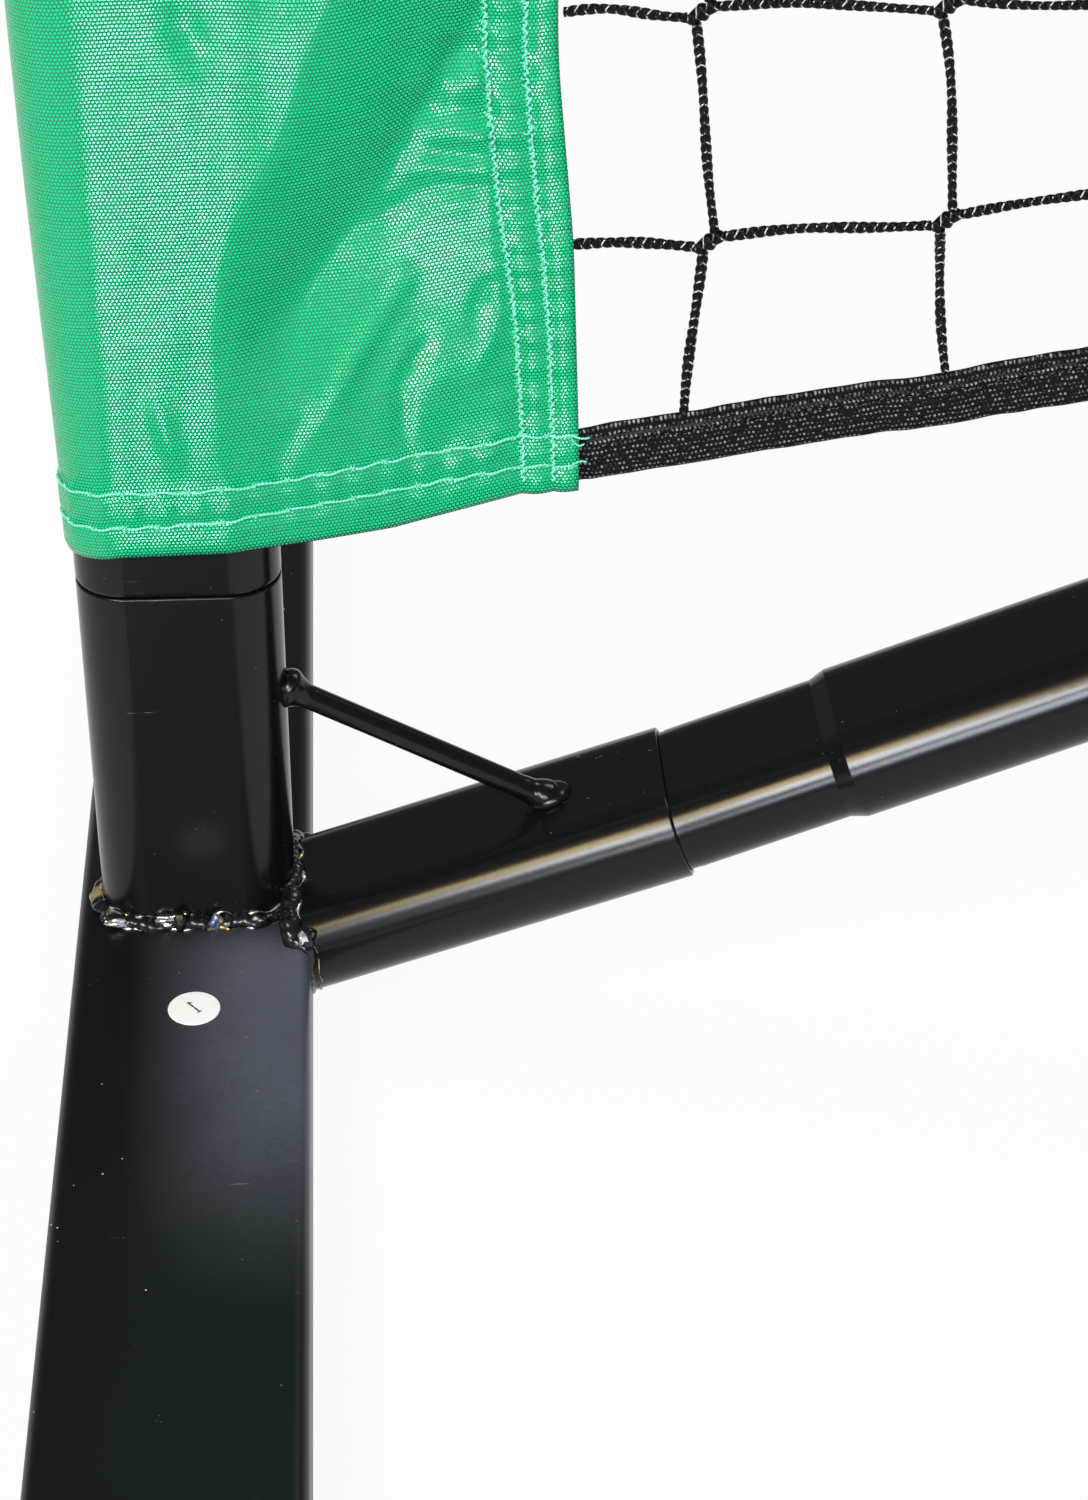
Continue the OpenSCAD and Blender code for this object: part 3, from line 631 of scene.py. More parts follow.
def sleeve_point(s, z, style):
    """Outside of the sleeve at share s of its width, -1 at the back free edge, 0 round the post's outer
    side and 1 at the front free edge, and at height z. A quarter of a loose ellipse goes round the post;
    then the face runs to the seam. The face is either straight (taut) or lies out flat and drops in a
    soft fold between two lines of the fold table, and it never cuts the post's other half round."""
    s, z = np.broadcast_arrays(np.asarray(s, float), np.asarray(z, float))
    front, a = np.where(s < 0, -1.0, 1.0), np.abs(s)
    shift = np.where(s < 0, style["back"], style["front"])
    zf = np.where(shift == 0, z, 120 + (z - 120 + shift) % 620)
    edge = free_edge(z)
    line1, line2 = seam_lines(z)
    loose = table(z, (90, 0.0), (118, 0.0), (150, 0.9), (185, 1.9), (222, 2.5), (300, 2.0), (380, 2.8),
                  (470, 1.6), (560, 2.6), (660, 1.8), (730, 1.2), (770, 0.3), (830, 0.2))
    rx, ry = 11.05 + loose, 11.1 + 0.25 * loose
    turn = np.clip(a / QUARTER, 0, 1) * PI / 2
    x = np.where(a < QUARTER, -10 - rx * np.cos(turn), -10 + (edge + 10) * (a - QUARTER) / (1 - QUARTER))
    start, end, drop = (table(zf, *[(row[0], row[n]) for row in FOLD], soft=5.0) for n in (1, 2, 3))
    drop = drop * np.clip((790 - z) / 60, 0, 1)
    taut = ry + (1.35 - ry) * ramp(x, 10, line1)
    low = 1.5 + 2.0 * np.clip((line1 - x) / (line1 - 20), 0, 1.3)
    wider = 1.0 + 4.5 * rise(zf, 160, 190)
    slide = ramp(x, start - wider, end + wider)
    folded = low + (ry - low) * (1 - 0.7 * slide - 0.3 * slide * slide * (3 - 2 * slide))
    folded = folded - 0.8 * bell(x, end + 3.0, 2.6) * rise(zf, 182, 205)
    h = taut + (folded - taut) * drop
    post = np.sqrt(np.maximum(11.08 ** 2 - np.clip(x - 10, 0, None) ** 2, 0))
    h = np.maximum(h, np.where(x < 21.05, post, 0))
    inner = rise(x, 8, 24) * (1 - rise(x, line1 - 3, line1 + 1))
    free = rise(z, 116, 136) * (1 - rise(z, 770, 795))
    h = h + inner * (0.25 + 0.75 * free) * 0.24 * ripple(30.0, style["seed"], x * 1.3, z * 0.7, front * 9)
    fine = ripple(17.0, style["seed"] + 3, x * 1.6, z * 0.6, front * 5)
    h = h + free * rise(a, 0.02, 0.10) * 0.09 * fine * (x < 60)
    marks = np.where(s < 0, crease_lift(x, z, style["back_creases"]), crease_lift(x, z, style["front_creases"]))
    h = h + 1.5 * marks * rise(x, -12, -4)
    crumpled = np.sin(TURN * z / 8.5 + 1.2 * np.sin(z / 5.0) + (x - 50) * 0.10)
    crumpled = crumpled * bell(x, 58, 11) * bell(z, 203, 17)
    h = h + np.where(s < 0, 0.0, style["crumpled"]) * 0.62 * crumpled
    sewn = rise(x, line1 - 1.0, line1 + 0.8)
    between = 1.38 + 0.42 * np.sin(PI * ramp(x, line1, line2)) + 0.40 * np.sin(PI * ramp(x, line2, edge) * 0.92)
    pucker = 0.16 * np.sin(TURN * z / 5.4 + 2.0 * np.sin(z / 9.0)) * bell(x, 0.5 * (line1 + line2), 6.5)
    h = h * (1 - sewn) + between * sewn + pucker * rise(z, 120, 130)
    h = h - 0.30 * (bell(x, line1, 0.9) + bell(x, line2, 0.9))
    lowline, highline, hem = (np.interp(x, *line) for line in (HEM_LOW, HEM_HIGH, HEM_EDGE))
    double = 0.38 * (1 - rise(z, highline + 0.2, highline + 1.6))
    grooves = 0.34 * (bell(z, lowline, 1.0) + bell(z, highline, 1.0)) + 0.35 * bell(z, hem, 0.7)
    out = double - grooves + 0.16 * np.sin(TURN * a * 17) * bell(z, lowline + 3, 4.5)
    y = np.where(a < QUARTER, (ry + out) * np.sin(turn), h + out)
    x = np.where(a < QUARTER, -10 - (rx + out) * np.cos(turn), x)
    wave = 0.25 * ripple(30.0, style["seed"] + 7, z) * rise(x, 40, 70) * free
    return np.stack([x, -front * y + wave, z], -1)


STYLES = {
    "left": dict(seed=11, crumpled=1.0, front=0.0, back=160.0, back_creases=more_creases(22, 135, 760, 40),
                 front_creases=np.concatenate([CREASES, more_creases(21, 235, 760, 34)])),
    "right": dict(seed=31, crumpled=0.0, front=300.0, back=420.0, back_creases=more_creases(24, 135, 760, 40),
                  front_creases=more_creases(23, 135, 760, 42)),
}


def hem_x(s):
    """Reach at share s of the width along the hem: a quarter circle round the post, then straight."""
    a = np.abs(s)
    bend = -10 - 11 * np.cos(np.clip(a / QUARTER, 0, 1) * PI / 2)
    return np.where(a < QUARTER, bend, -10 + 88 * (a - QUARTER) / (1 - QUARTER))


def sleeve_shell(style):
    """Grid over the sleeve: columns across its width, rows from the hem to the closed top. Rows leave
    from the slanting hem and become level; the last rows draw in over the cap to a line."""
    s = np.linspace(-1, 1, 173)
    rows = np.concatenate([np.arange(0, 112, 1.15), np.linspace(112, 676, 146)[1:]])
    hem = np.interp(hem_x(s), *HEM_EDGE)[:, None]
    body = sleeve_point(s[:, None], hem + (SLEEVE_TOP - 2.0 - hem) * (rows / rows[-1]), style)
    x, y = body[:, -1, 0], body[:, -1, 1]
    middle = np.clip(x, -10, 76)
    roof = ((-0.9, 0.965), (-0.1, 0.90), (0.25, 0.72), (0.3, 0.36), (0.3, 0.0))
    caps = [np.stack([middle + (x - middle) * k, y * k, np.full(len(s), SLEEVE_TOP + up)], -1)
            for up, k in roof]
    points = np.concatenate([body, np.stack(caps, 1)], 1)
    return points, flat_at(travelled(points[:, 60], 0)[:, None], travelled(points, 1))


def lifted(s, z, style, lift):
    """Point of the sleeve raised off its outside by a distance."""
    over = sleeve_point(s, z + 0.4, style) - sleeve_point(s, z - 0.4, style)
    side = sleeve_point(s + 0.003, z, style) - sleeve_point(s - 0.003, z, style)
    return sleeve_point(s, z, style) + unit(np.cross(side, over)) * lift[..., None]


def share_at(x, z, front):
    """Share of the width at which the face is at x."""
    return front * (QUARTER + (x + 10) * (1 - QUARTER) / (free_edge(z) + 10))


def short_threads(s, z, way, style, long, lift, thick):
    """Short arched threads on the sleeve at places (share, height): each starts in the cloth, rises by
    lift and dips back in. way is one millimetre in (share, height)."""
    t = np.linspace(-0.5, 0.5, 6)
    s = s[:, None] + way[:, 0, None] * t * long[:, None]
    z = z[:, None] + way[:, 1, None] * t * long[:, None]
    arch = lift * np.cos(PI * t) ** 0.7 - 0.10
    return tubes(lifted(s, z, style, arch), thick * np.array([0, 0.8, 1, 1, 0.8, 0]), 5)


def sleeve_sewing(style, seed):
    """Every thread that shows on one sleeve: two rows along the hem with tufts at the holes, and two
    rough looped rows down the seam on each face, finer where they are seen close to."""
    rng = np.random.default_rng(seed)
    grids = []
    t = np.linspace(-0.5, 0.5, 15)
    arch = 0.42 * np.cos(PI * t) ** 0.5 - 0.14
    thick = closed(0.27 * np.clip(np.cos(PI * t) * 6, 0, 1))
    holes = np.clip(np.arange(HEM_STITCHES + 1) / HEM_STITCHES * 2 - 1, -0.985, 0.985)
    for line in (HEM_LOW, HEM_HIGH):
        s = (np.arange(HEM_STITCHES) + 0.5) / HEM_STITCHES * 2 - 1
        s = s[:, None] + t * (6.3 / SLEEVE_ROUND * 2 * 0.97)
        z = np.interp(hem_x(s), *line) + 0.22 * np.sin(TURN * t) * rng.choice([-1, 1], HEM_STITCHES)[:, None]
        grids.append(tubes(lifted(s, z, style, arch), thick, 8))
        z = np.interp(hem_x(holes), *line)
        for slant in (-1.0, 1.0):
            way = np.stack([np.full(len(z), 0.0045) * slant, rng.uniform(0.6, 0.9, len(z))], 1)
            grids.append(short_threads(holes, z, way, style, rng.uniform(1.5, 2.5, len(z)), 0.36, 0.20))
    for front in (1.0, -1.0):
        for which in (0, 1):
            z = np.arange(124.0, 236.0, 0.24)
            x = seam_lines(z)[which] + 0.42 * np.sin(TURN * z / 1.75) + 0.18 * np.sin(TURN * z / 0.83 + 1)
            lift = 0.30 + 0.24 * np.sin(TURN * z / 1.75 + 1.2) + 0.08 * rng.normal(size=len(z))
            radius = closed(0.26 * (1 + 0.12 * rng.normal(size=len(z))))
            grids.append(tubes(lifted(share_at(x, z, front), z, style, lift), radius, 7))
            z = np.arange(126.0, 234.0, 0.95)
            z = z + rng.normal(size=len(z)) * 0.16
            s = share_at(seam_lines(z)[which] + rng.normal(size=len(z)) * 0.25, z, front)
            angle = rng.uniform(-0.6, 0.6, len(z))
            way = np.stack([np.cos(angle) * 0.0095, np.sin(angle)], 1)
            grids.append(short_threads(s, z, way, style, rng.uniform(1.0, 1.9, len(z)), 0.46, 0.17))
            z = np.arange(236.0, 794.0, 3.1)
            s = share_at(seam_lines(z)[which], z, front)
            way = np.stack([rng.normal(size=len(z)) * 0.0012, np.ones(len(z))], 1)
            grids.append(short_threads(s, z, way, style, np.full(len(z), 2.9), 0.42, 0.25))
    return grids


def thread_tails(style):
    """Cut ends of the hem threads that stand out past the free edge in small curls."""
    t = np.linspace(0, 1, 12)
    paths = []
    for z0, rise_by, reach, out in ((127.4, 1.2, 2.0, 0.5), (134.2, -0.4, 2.6, 0.9), (133.4, -1.8, 1.5, -0.3)):
        curl = [t * (reach + 1.2), -0.35 - out * np.sin(PI * t * 0.8), rise_by * np.sin(2.4 * t)]
        paths.append(sleeve_point(0.985, z0, style) + np.stack(curl, 1))
    return tubes(np.array(paths), closed(np.full(12, 0.20)), 7)


green = sleeve_cloth()
sewing = thread("sewing_thread", (0.075, 0.560, 0.360), (0.290, 0.860, 0.660), 0.30)
for label, side in (("left", -1), ("right", 1)):
    style = STYLES[label]
    shell = sleeve_shell(style)
    sleeve = new_surface(f"sleeve_cloth_{label}", [shell], green, "net", side, solid=CLOTH)
    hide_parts(f"sleeve_{label}")
    threads = sleeve_sewing(style, 41 if side < 0 else 43)
    if side < 0:
        threads.append(thread_tails(style))
    stitching = new_surface(f"sleeve_stitching_{label}", threads, sewing, "net", side)

# ---- netting ----

PITCH_X, PITCH_Z, FIRST, BAND_LOW, COLUMNS, ROWS = 43.75, 44.25, 100.0, 748.0, 65, 14
TAPE_R, TAPE_ARC, TAPE_LEVEL, TAPE_HALF = 2900.0, 560.64, 169.11, 5.65
CORD_R, HALF_KNOT = 0.92, np.array([2.5, 0.0, 1.5])
LEVEL_END, UPRIGHT_END = np.array([2.5, 0.0, 1.0]), np.array([1.0, 0.0, 1.7])


def tape_middle(x):
    """Height of the bottom tape's middle: an arc from each sleeve up to a level stretch."""
    x = np.minimum(x, SPAN - x)
    return TAPE_LEVEL - TAPE_R + np.sqrt(TAPE_R ** 2 - np.clip(TAPE_ARC - x, 0, None) ** 2)


rng = np.random.default_rng(5)
crossing = np.zeros((COLUMNS, ROWS, 3))
crossing[..., 0] = FIRST + PITCH_X * np.arange(COLUMNS)[:, None]
crossing[..., 2] = BAND_LOW - PITCH_Z * np.arange(ROWS)[None, :]
crossing += rng.normal(size=crossing.shape) * [1.0, 0.35, 0.9]
crossing[:, 0, 2] = BAND_LOW + 2.5
column_x = crossing[:, 13, 0]
near = np.minimum(column_x, SPAN - column_x)
crossing[:, 13, 2] = 172.75 + 10.0 * bell(near, 210, 95) + rng.normal(size=COLUMNS) * 0.6
crossing[:3, 13] = [(101.1, 0, 172.7), (144.9, 0, 176.3), (188.6, 0, 184.2)]
crossing[:3, 12] = [(98.1, 0, 216.9), (141.9, 0, 217.6), (186.2, 0, 218.3)]
there = np.ones((COLUMNS, ROWS), bool)
there[:, 13] = crossing[:, 13, 2] > tape_middle(crossing[:, 13, 0]) + TAPE_HALF + 3.0
close = np.zeros((COLUMNS, ROWS), bool)
close[:3, 11:] = True


def spans(which, seed, points, thick, **braid):
    """Cords along some of the stretches with a slight seeded bow, each closed at both ends."""
    rng = np.random.default_rng(seed)
    t = np.linspace(0, 1, points)[None, :, None]
    start, way = starts[which][:, None], (ends - starts)[which][:, None]
    bow = rng.normal(size=(len(start), 1, 3)) * [0.5, 0.7, 0.5]
    paths = start + way * t + bow * np.sin(PI * t) + bow[:, :, ::-1] * 0.4 * np.sin(TURN * t)
    swell = 0.10 * np.sin(PI * np.linspace(0, 4, points) + seed)
    radius = closed(thick * (1.0 + swell + rng.normal(size=(len(start), 1)) * 0.06))
    return tubes(paths, radius, squeeze=1 - 0.55 * (1 - inboard(paths[..., 0], SPAN, 76.0, 78.5)), **braid)


def cord_ends():
    """Start, end and nearness of every stretch of cord between crossings: the level and upright cords leave
    each short slanting crossing from its two ends."""
    low, high = crossing - LEVEL_END, crossing + LEVEL_END
    under, over = crossing - UPRIGHT_END, crossing + UPRIGHT_END
    starts, ends, nearby = [], [], []

    def keep(a, b, c):
        starts.append(a.reshape(-1, 3))
        ends.append(b.reshape(-1, 3))
        nearby.append(np.broadcast_to(c, a.shape[:-1]).reshape(-1))

    whole = there[:-1] & there[1:]
    keep(high[:-1][whole], low[1:][whole], (close[:-1] | close[1:])[whole])
    both = there[:, :-1] & there[:, 1:]
    keep(under[:, :-1][both], over[:, 1:][both], (close[:, :-1] | close[:, 1:])[both])
    left, right = low[0].copy(), high[-1].copy()
    left[:, 0], right[:, 0] = 73.5, SPAN - 73.5
    left[:, 1] = right[:, 1] = 0.0
    left[12, 2], left[13, 2] = 217.2, 172.6
    keep(left, low[0], close[0])
    keep(high[-1], right, close[-1])
    last = np.where(there[:, 13], 13, 12)
    foot = under[np.arange(COLUMNS), last].copy()
    foot[:, 0] += np.random.default_rng(8).normal(size=COLUMNS) * 1.6
    foot[0, 0], foot[1, 0], foot[2, 0] = 97.6, 148.0, 189.0
    foot[:, 2] = tape_middle(foot[:, 0]) + 2.0
    keep(under[np.arange(COLUMNS), last], foot, close[:, 13])
    beside = np.roll(there[:, 13], 1) | np.roll(there[:, 13], -1)
    for column in np.flatnonzero(there[:, 12] & ~there[:, 13] & beside):
        way = 1 if there[column - 1, 13] else -1
        start = (high if way > 0 else low)[column - way, 13]
        end = start + [PITCH_X * 0.8 * way, 0, 0]
        end[2] = tape_middle(end[0]) + 2.0
        keep(start[None], end[None], False)
    return np.concatenate(starts), np.concatenate(ends), np.concatenate(nearby)


def knots(points, sides, which, **braid):
    """Short slanting bars at the crossings, where the two cords lie through each other."""
    t = np.linspace(-1, 1, points)
    curve = t[None, :, None]
    paths = crossing[which][:, None] + HALF_KNOT * 1.14 * curve + np.array([0.5, 0, -1.0]) * 0.25 * curve ** 2
    radius = 1.55 * (1 - np.abs(t) ** 4) ** 0.5 * (0.86 + 0.14 * np.cos(TURN * t))
    return tubes(paths, closed(radius), sides, **braid)


twine = net_cord()
starts, ends, nearby = cord_ends()
level = np.abs(ends - starts)[:, 0] > np.abs(ends - starts)[:, 2]
pieces = {
    "net_uprights": [spans(~nearby & ~level, 61, 8, CORD_R, sides=6), knots(6, 6, there & ~close)],
    "net_levels": [spans(~nearby & level, 62, 8, CORD_R, sides=6)],
    "net_corner": [spans(nearby, 63, 118, CORD_R * 0.99, sides=18, stitch=0.11),
                   knots(30, 18, there & close, stitch=0.10)],
}
for name, grids in pieces.items():
    cords = new_surface(name, grids, twine, "net")
    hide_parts("netting")

# ---- bottom tape ----


def tape_seam(x):
    """Height over the tape's middle of its puckered line of stitches."""
    return 2.35 + 0.30 * np.sin(TURN * x / 7.1) + 0.25 * ripple(24.0, 71, x)


def tape_sway(x):
    """How far the tape wanders forward or back."""
    return 0.45 * ripple(70.0, 73, x) + 0.15 * ripple(16.0, 74, x)


def tape_height(x):
    """Height of the tape's middle with its small wander."""
    return tape_middle(x) + 0.22 * ripple(38.0, 75, x)


def tape_shape():
    """Profile of the folded tape, from its top down the front and up the back: a thin round rib, a groove
    under it, flat faces with a puckered line of stitches a quarter down, and a round fold below. It is
    carried along the curve and thins where it goes between the sleeve's layers."""
    x = np.concatenate([np.arange(70.0, 196.0, 0.62), np.linspace(196.0, SPAN - 70.0, 660)])
    turn = np.linspace(0, 1, 47)
    down = np.where(turn < 0.5, turn, 1 - turn) * 2
    z = TAPE_HALF * np.cos(PI * down ** 0.98)
    z = np.where((turn > 0.04) & (turn < 0.96), TAPE_HALF * (1 - 2 * down) * 0.98, z)[:, None]
    face = np.where(turn < 0.5, -1.0, 1.0)[:, None]
    half = 1.72 * (1 - ramp(np.abs(z), 3.4, 5.65) ** 2) ** 0.5
    half = np.where(z > 3.9, np.clip(1 - (z - 4.65) ** 2, 0, 1) ** 0.5, half) - 0.50 * bell(z, 3.55, 0.45)
    half = half - 0.26 * bell(z, tape_seam(x), 0.55) * (0.7 + 0.3 * np.sin(TURN * x / 3.4))
    half = closed((half + 0.10 * ripple(9.0, 72, x, z * 2.5 + face * 7)).T).T
    thin = 1 - 0.62 * (1 - inboard(x, SPAN, 77.0, 80.0))
    slope = np.gradient(tape_middle(x), x)
    tilt = 1 / np.sqrt(1 + slope ** 2)
    y = face * half * thin + tape_sway(x) * inboard(x, SPAN, 78, 95) * (1 + 0.10 * z)
    points = np.stack([x - slope * tilt * z, y, tape_height(x) + tilt * z], -1)
    return points, flat_at(np.arange(47)[:, None] * 0.5, x)


def tape_sewing():
    """Black stitches along the tape's puckered line, on both faces."""
    t = np.linspace(-0.5, 0.5, 5)
    x = np.arange(80.0, SPAN - 80.0, 3.4)[:, None] + t * 2.9
    out, z = 1.55 + 0.22 * np.cos(PI * t), tape_height(x) + tape_seam(x)
    paths = [np.stack([x, face * out + tape_sway(x), z], -1) for face in (-1.0, 1.0)]
    return [tubes(path, closed(np.full(5, 0.18)), 5) for path in paths]


webbing = tape_weave()
tape = new_surface("tape_band", [tape_shape()], webbing, "net")
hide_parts("bottom_tape")
new_surface("tape_stitching", tape_sewing(), twine, "net")

# ---- headband ----


CORD_Z, CORD_AROUND, BAND_ROWS = 796.3, 3.72, (751.0, 757.0)


def band_lift(x, z, face):
    """How far a face of the band ripples off its flat shape, held at the head cord and at both ends."""
    waves = ripple(120.0, 81, x, z * 3) + 0.5 * ripple(35.0, 82, x, z + 9 * face)
    return (1 - rise(z, 780, 790)) * inboard(x, SPAN, 80, 110) * (0.30 + 0.45 * waves)


def band_sway(x):
    """How far the band wanders forward or back along the net."""
    return 0.25 * ripple(300.0, 83, x) * inboard(x, SPAN, 80, 160)


def band_shape():
    """Band folded over the head cord: up the back, round the cord and down the front, along the net. Its
    faces ripple a little and its lower edges are pressed in along two rows of stitches."""
    x, s = np.linspace(77.0, SPAN - 77.0, 500)[None], np.linspace(0, 1, 53)[:, None]
    face, up, split = np.where(s < 0.5, 1.0, -1.0), 1 - np.abs(2 * s - 1), 0.84
    arc = ramp(up, split, 1) * PI * 0.56 + PI * 0.5 - PI * 0.56
    z = BAND_LOW + (CORD_Z - CORD_AROUND * np.sin(PI * 0.06) - BAND_LOW) * np.clip(up / split, 0, 1)
    y = 1.75 + (CORD_AROUND * np.cos(PI * 0.06) - 1.75) * np.clip((z - 783.0) / (CORD_Z - 783.7), 0, 1) ** 1.4
    z = np.where(up > split, CORD_Z + CORD_AROUND * np.sin(arc), z)
    y = np.where(up > split, CORD_AROUND * np.cos(arc), y) + band_lift(x, z, face)
    y = y - 0.30 * sum(bell(z, row, 0.9) for row in BAND_ROWS)
    points = np.stack(np.broadcast_arrays(x, face * np.maximum(y, 1.2) + band_sway(x), z), -1)
    return points, flat_at(travelled(points[:, 9], 0)[:, None], x)


def band_sewing():
    """White stitches in two rows along each face's lower edge."""
    t = np.linspace(-0.5, 0.5, 5)
    x = np.arange(80.0, SPAN - 80.0, 6.0)[:, None] + t * 5.2
    grids = []
    for face in (-1.0, 1.0):
        for row in BAND_ROWS:
            y = np.maximum(1.75 + band_lift(x, row, face) - 0.30, 1.2) + 0.28 * np.cos(PI * t)
            path = np.stack([x, face * y + band_sway(x), np.full_like(x, row)], -1)
            grids.append(tubes(path, closed(np.full(5, 0.28)), 5))
    return grids


band = new_surface("band_cloth", [band_shape()], band_cloth(), "net", solid=0.6)
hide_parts("headband")
white = thread("band_thread", (0.60, 0.60, 0.58), (0.82, 0.82, 0.80), 0.5)
band_stitches = new_surface("band_stitching", band_sewing(), white, "net")

# ---- welded corner ----

RISE = np.radians(19.1)
STUB_ROOT = np.array([23.0, 0.0, 20.3])
ALONG = np.array([np.cos(RISE), 0.0, np.sin(RISE)])
SQUARE = np.array([-np.sin(RISE), 0.0, np.cos(RISE)])
FOOT_TOP, FOOT_CORNER, RIM, STUB_LEN = 26.0, 2.8, 104.0, 80.0
FOOT_CENTRE, FOOT_FLAT = np.array([-1.0, 14.5]), np.array([21.2, 8.7])


def in_foot(p):
    """Negative inside the foot bar's outline, a rectangle with round corners."""
    past = np.clip(np.abs(p[..., [0, 2]] - FOOT_CENTRE) - FOOT_FLAT, 0, None)
    return np.hypot(past[..., 0], past[..., 1]) - FOOT_CORNER


def in_socket(p):
    """Negative inside the socket's outside, up to its rim."""
    across = np.hypot(np.clip(np.abs(p[..., 0]) - 10.0, 0, None), p[..., 1]) - 10.0
    return np.maximum(across, p[..., 2] - RIM)


def round_ahead(line):
    """Directions along a closed line whose last point is its first."""
    ahead = np.gradient(line, axis=0)
    ahead[0] = ahead[-1] = line[1] - line[-2]
    return unit(ahead)


def bead(path, thick, seed, pitch=2.1, flat=0.9, share=1.0):
    """Weld bead: a thick closed line along a path, swollen in overlapping ripples a pitch apart, with
    seeded lumps, wander and a flattened crown."""
    steps = travelled(path, 0)
    length = steps[-1]
    at = np.linspace(0, length, int(length / 0.32))
    held = inboard(at, length, 0, 4)
    pitch = length / round(length / pitch)
    line = [np.interp(at, steps, path[:, k]) + 0.35 * ripple(11.0, seed + k, at) * held for k in range(3)]
    line = np.stack(line, -1)
    size = thick * (1 + 0.10 * np.abs(np.sin(PI * at / pitch)) ** 0.7 + 0.13 * ripple(9.0, seed + 5, at) * held)
    size = size * np.interp(at, steps, np.broadcast_to(share, steps.shape))
    line[-1], size[-1] = line[0], size[0]
    ahead = round_ahead(line)
    side = unit(np.cross(ahead, [0, 0, 1.0]))
    up = np.cross(side, ahead)
    turn = np.linspace(0, TURN, 19)[:, None]
    lag = 0.5 * pitch * (1 - np.abs(np.cos(turn)))
    lumps = 0.05 * ripple(3.2, seed + 9, at, 3 * np.cos(turn), 3 * np.sin(turn)) * inboard(at, length, 0, 3)
    scale = (size * (1 + 0.07 * np.abs(np.sin(PI * (at + lag) / pitch)) + lumps))[..., None]
    points = line + scale * ((np.cos(turn) * flat)[..., None] * up + np.sin(turn)[..., None] * side)
    return points, flat_at(turn / TURN, at)


def blob(centre, radii, seed, lump=0.16):
    """Spatter or a stopped bead: a ball with its own three radii, swollen by seeded lumps."""
    turn, climb = np.linspace(0, TURN, 25)[:, None], np.linspace(-PI / 2, PI / 2, 15)[None, :]
    way = np.stack([np.cos(climb) * np.cos(turn), np.cos(climb) * np.sin(turn), np.sin(climb) + 0 * turn], -1)
    way[:, 0], way[:, -1] = [0, 0, -1], [0, 0, 1]
    way[-1] = way[0]
    swell = 1 + lump * ripple(1.6, seed, way[..., 0], way[..., 1], way[..., 2])
    return np.array(centre) + way * np.array(radii) * swell[..., None], flat_at(turn / TURN, climb)


def socket_line(grow):
    """Where the socket stands on the foot bar's flat top: its outline."""
    x, y = oval(np.linspace(0, 1, 241) + 0.37, 40.0 + 2 * grow, 20.0 + 2 * grow)
    return np.stack([x, y, np.full_like(x, FOOT_TOP)], -1)


def stub_line():
    """Where the stub meets the corner: each line of its outside is followed back from its mouth to the
    first point that lies in the foot bar, in the socket or behind the stub's cut end."""
    y, n = oval(np.linspace(0, 1, 241) + 0.62, 40.0, 20.0)
    back = np.arange(24.0, -12.0, -0.05)
    ring = STUB_ROOT + y[:, None] * [0, 1.0, 0] + n[:, None] * SQUARE
    line = ring[:, None] + back[None, :, None] * ALONG
    inside = (in_foot(line) < 0) | (in_socket(line) < 0) | (line[..., 0] < 19.2)
    return line[np.arange(len(y)), np.argmax(inside, axis=1)]


def on_foot(x):
    """Height of the foot bar's top at x, with its round corners."""
    past = np.clip(np.abs(x - FOOT_CENTRE[0]) - FOOT_FLAT[0], 0, 2.7)
    return FOOT_TOP - FOOT_CORNER + np.sqrt(FOOT_CORNER ** 2 - past ** 2)


def weld_toes(seed):
    """Thin bright toes of the welds: wavering lines up the socket's wall, out on the foot and on the
    stub, which swell, thin out and break; and the drops where a pass stopped."""
    s = np.linspace(0, 1, 620)
    arc = s * 104.0
    edge = inboard(s, 1, 0, 0.03)
    x, y = oval(s + 0.37, 40.5, 20.5)
    wall = np.stack([x, y, FOOT_TOP + 2.0 + 0.55 * ripple(9.0, seed, arc) * edge], -1)
    x, y = oval(s + 0.37, 44.6, 24.6)
    x = x * (1 + 0.016 * ripple(7.0, seed + 1, arc) * edge)
    y = y * (1 + 0.030 * ripple(6.0, seed + 2, arc) * edge)
    ground = np.stack([x, y, on_foot(x) + 0.10], -1)
    line = stub_line()
    from_root = line - STUB_ROOT
    out = unit(from_root - (from_root @ ALONG)[:, None] * ALONG)
    reach = 2.0 + 0.5 * ripple(8.0, seed + 3, np.linspace(0, 104, len(line)))
    stub = line + 0.25 * out + reach[:, None] * ALONG
    grids = []
    for number, path in enumerate((wall, ground, stub)):
        at = np.linspace(0, 104.0, len(path))
        radius = 0.34 * np.clip(0.62 + 0.9 * ripple(6.5, seed + 10 + number, at), 0.12, 1.25)
        if number == 2:
            radius = radius * (0.35 + 0.65 * rise(path[:, 2], 23.0, 28.0))
        grids.append(tubes(path, closed(radius), 8))
    drops = [((-16.4, -11.0, 27.3), (2.3, 1.0, 0.9)), ((-6.0, -11.3, 27.4), (3.0, 0.9, 0.9)),
             ((3.8, -11.7, 27.3), (1.3, 1.2, 1.7)), ((21.2, -13.2, 26.2), (1.5, 2.0, 1.6)),
             ((22.0, -16.6, 26.4), (1.7, 1.8, 1.6)), ((21.6, -19.0, 27.8), (1.1, 1.2, 1.7)),
             ((19.0, -8.6, 28.6), (1.0, 1.2, 1.4))]
    for number, (centre, radii) in enumerate(drops):
        grids.append(blob(centre, radii, seed + 20 + number, 0.22))
    return grids


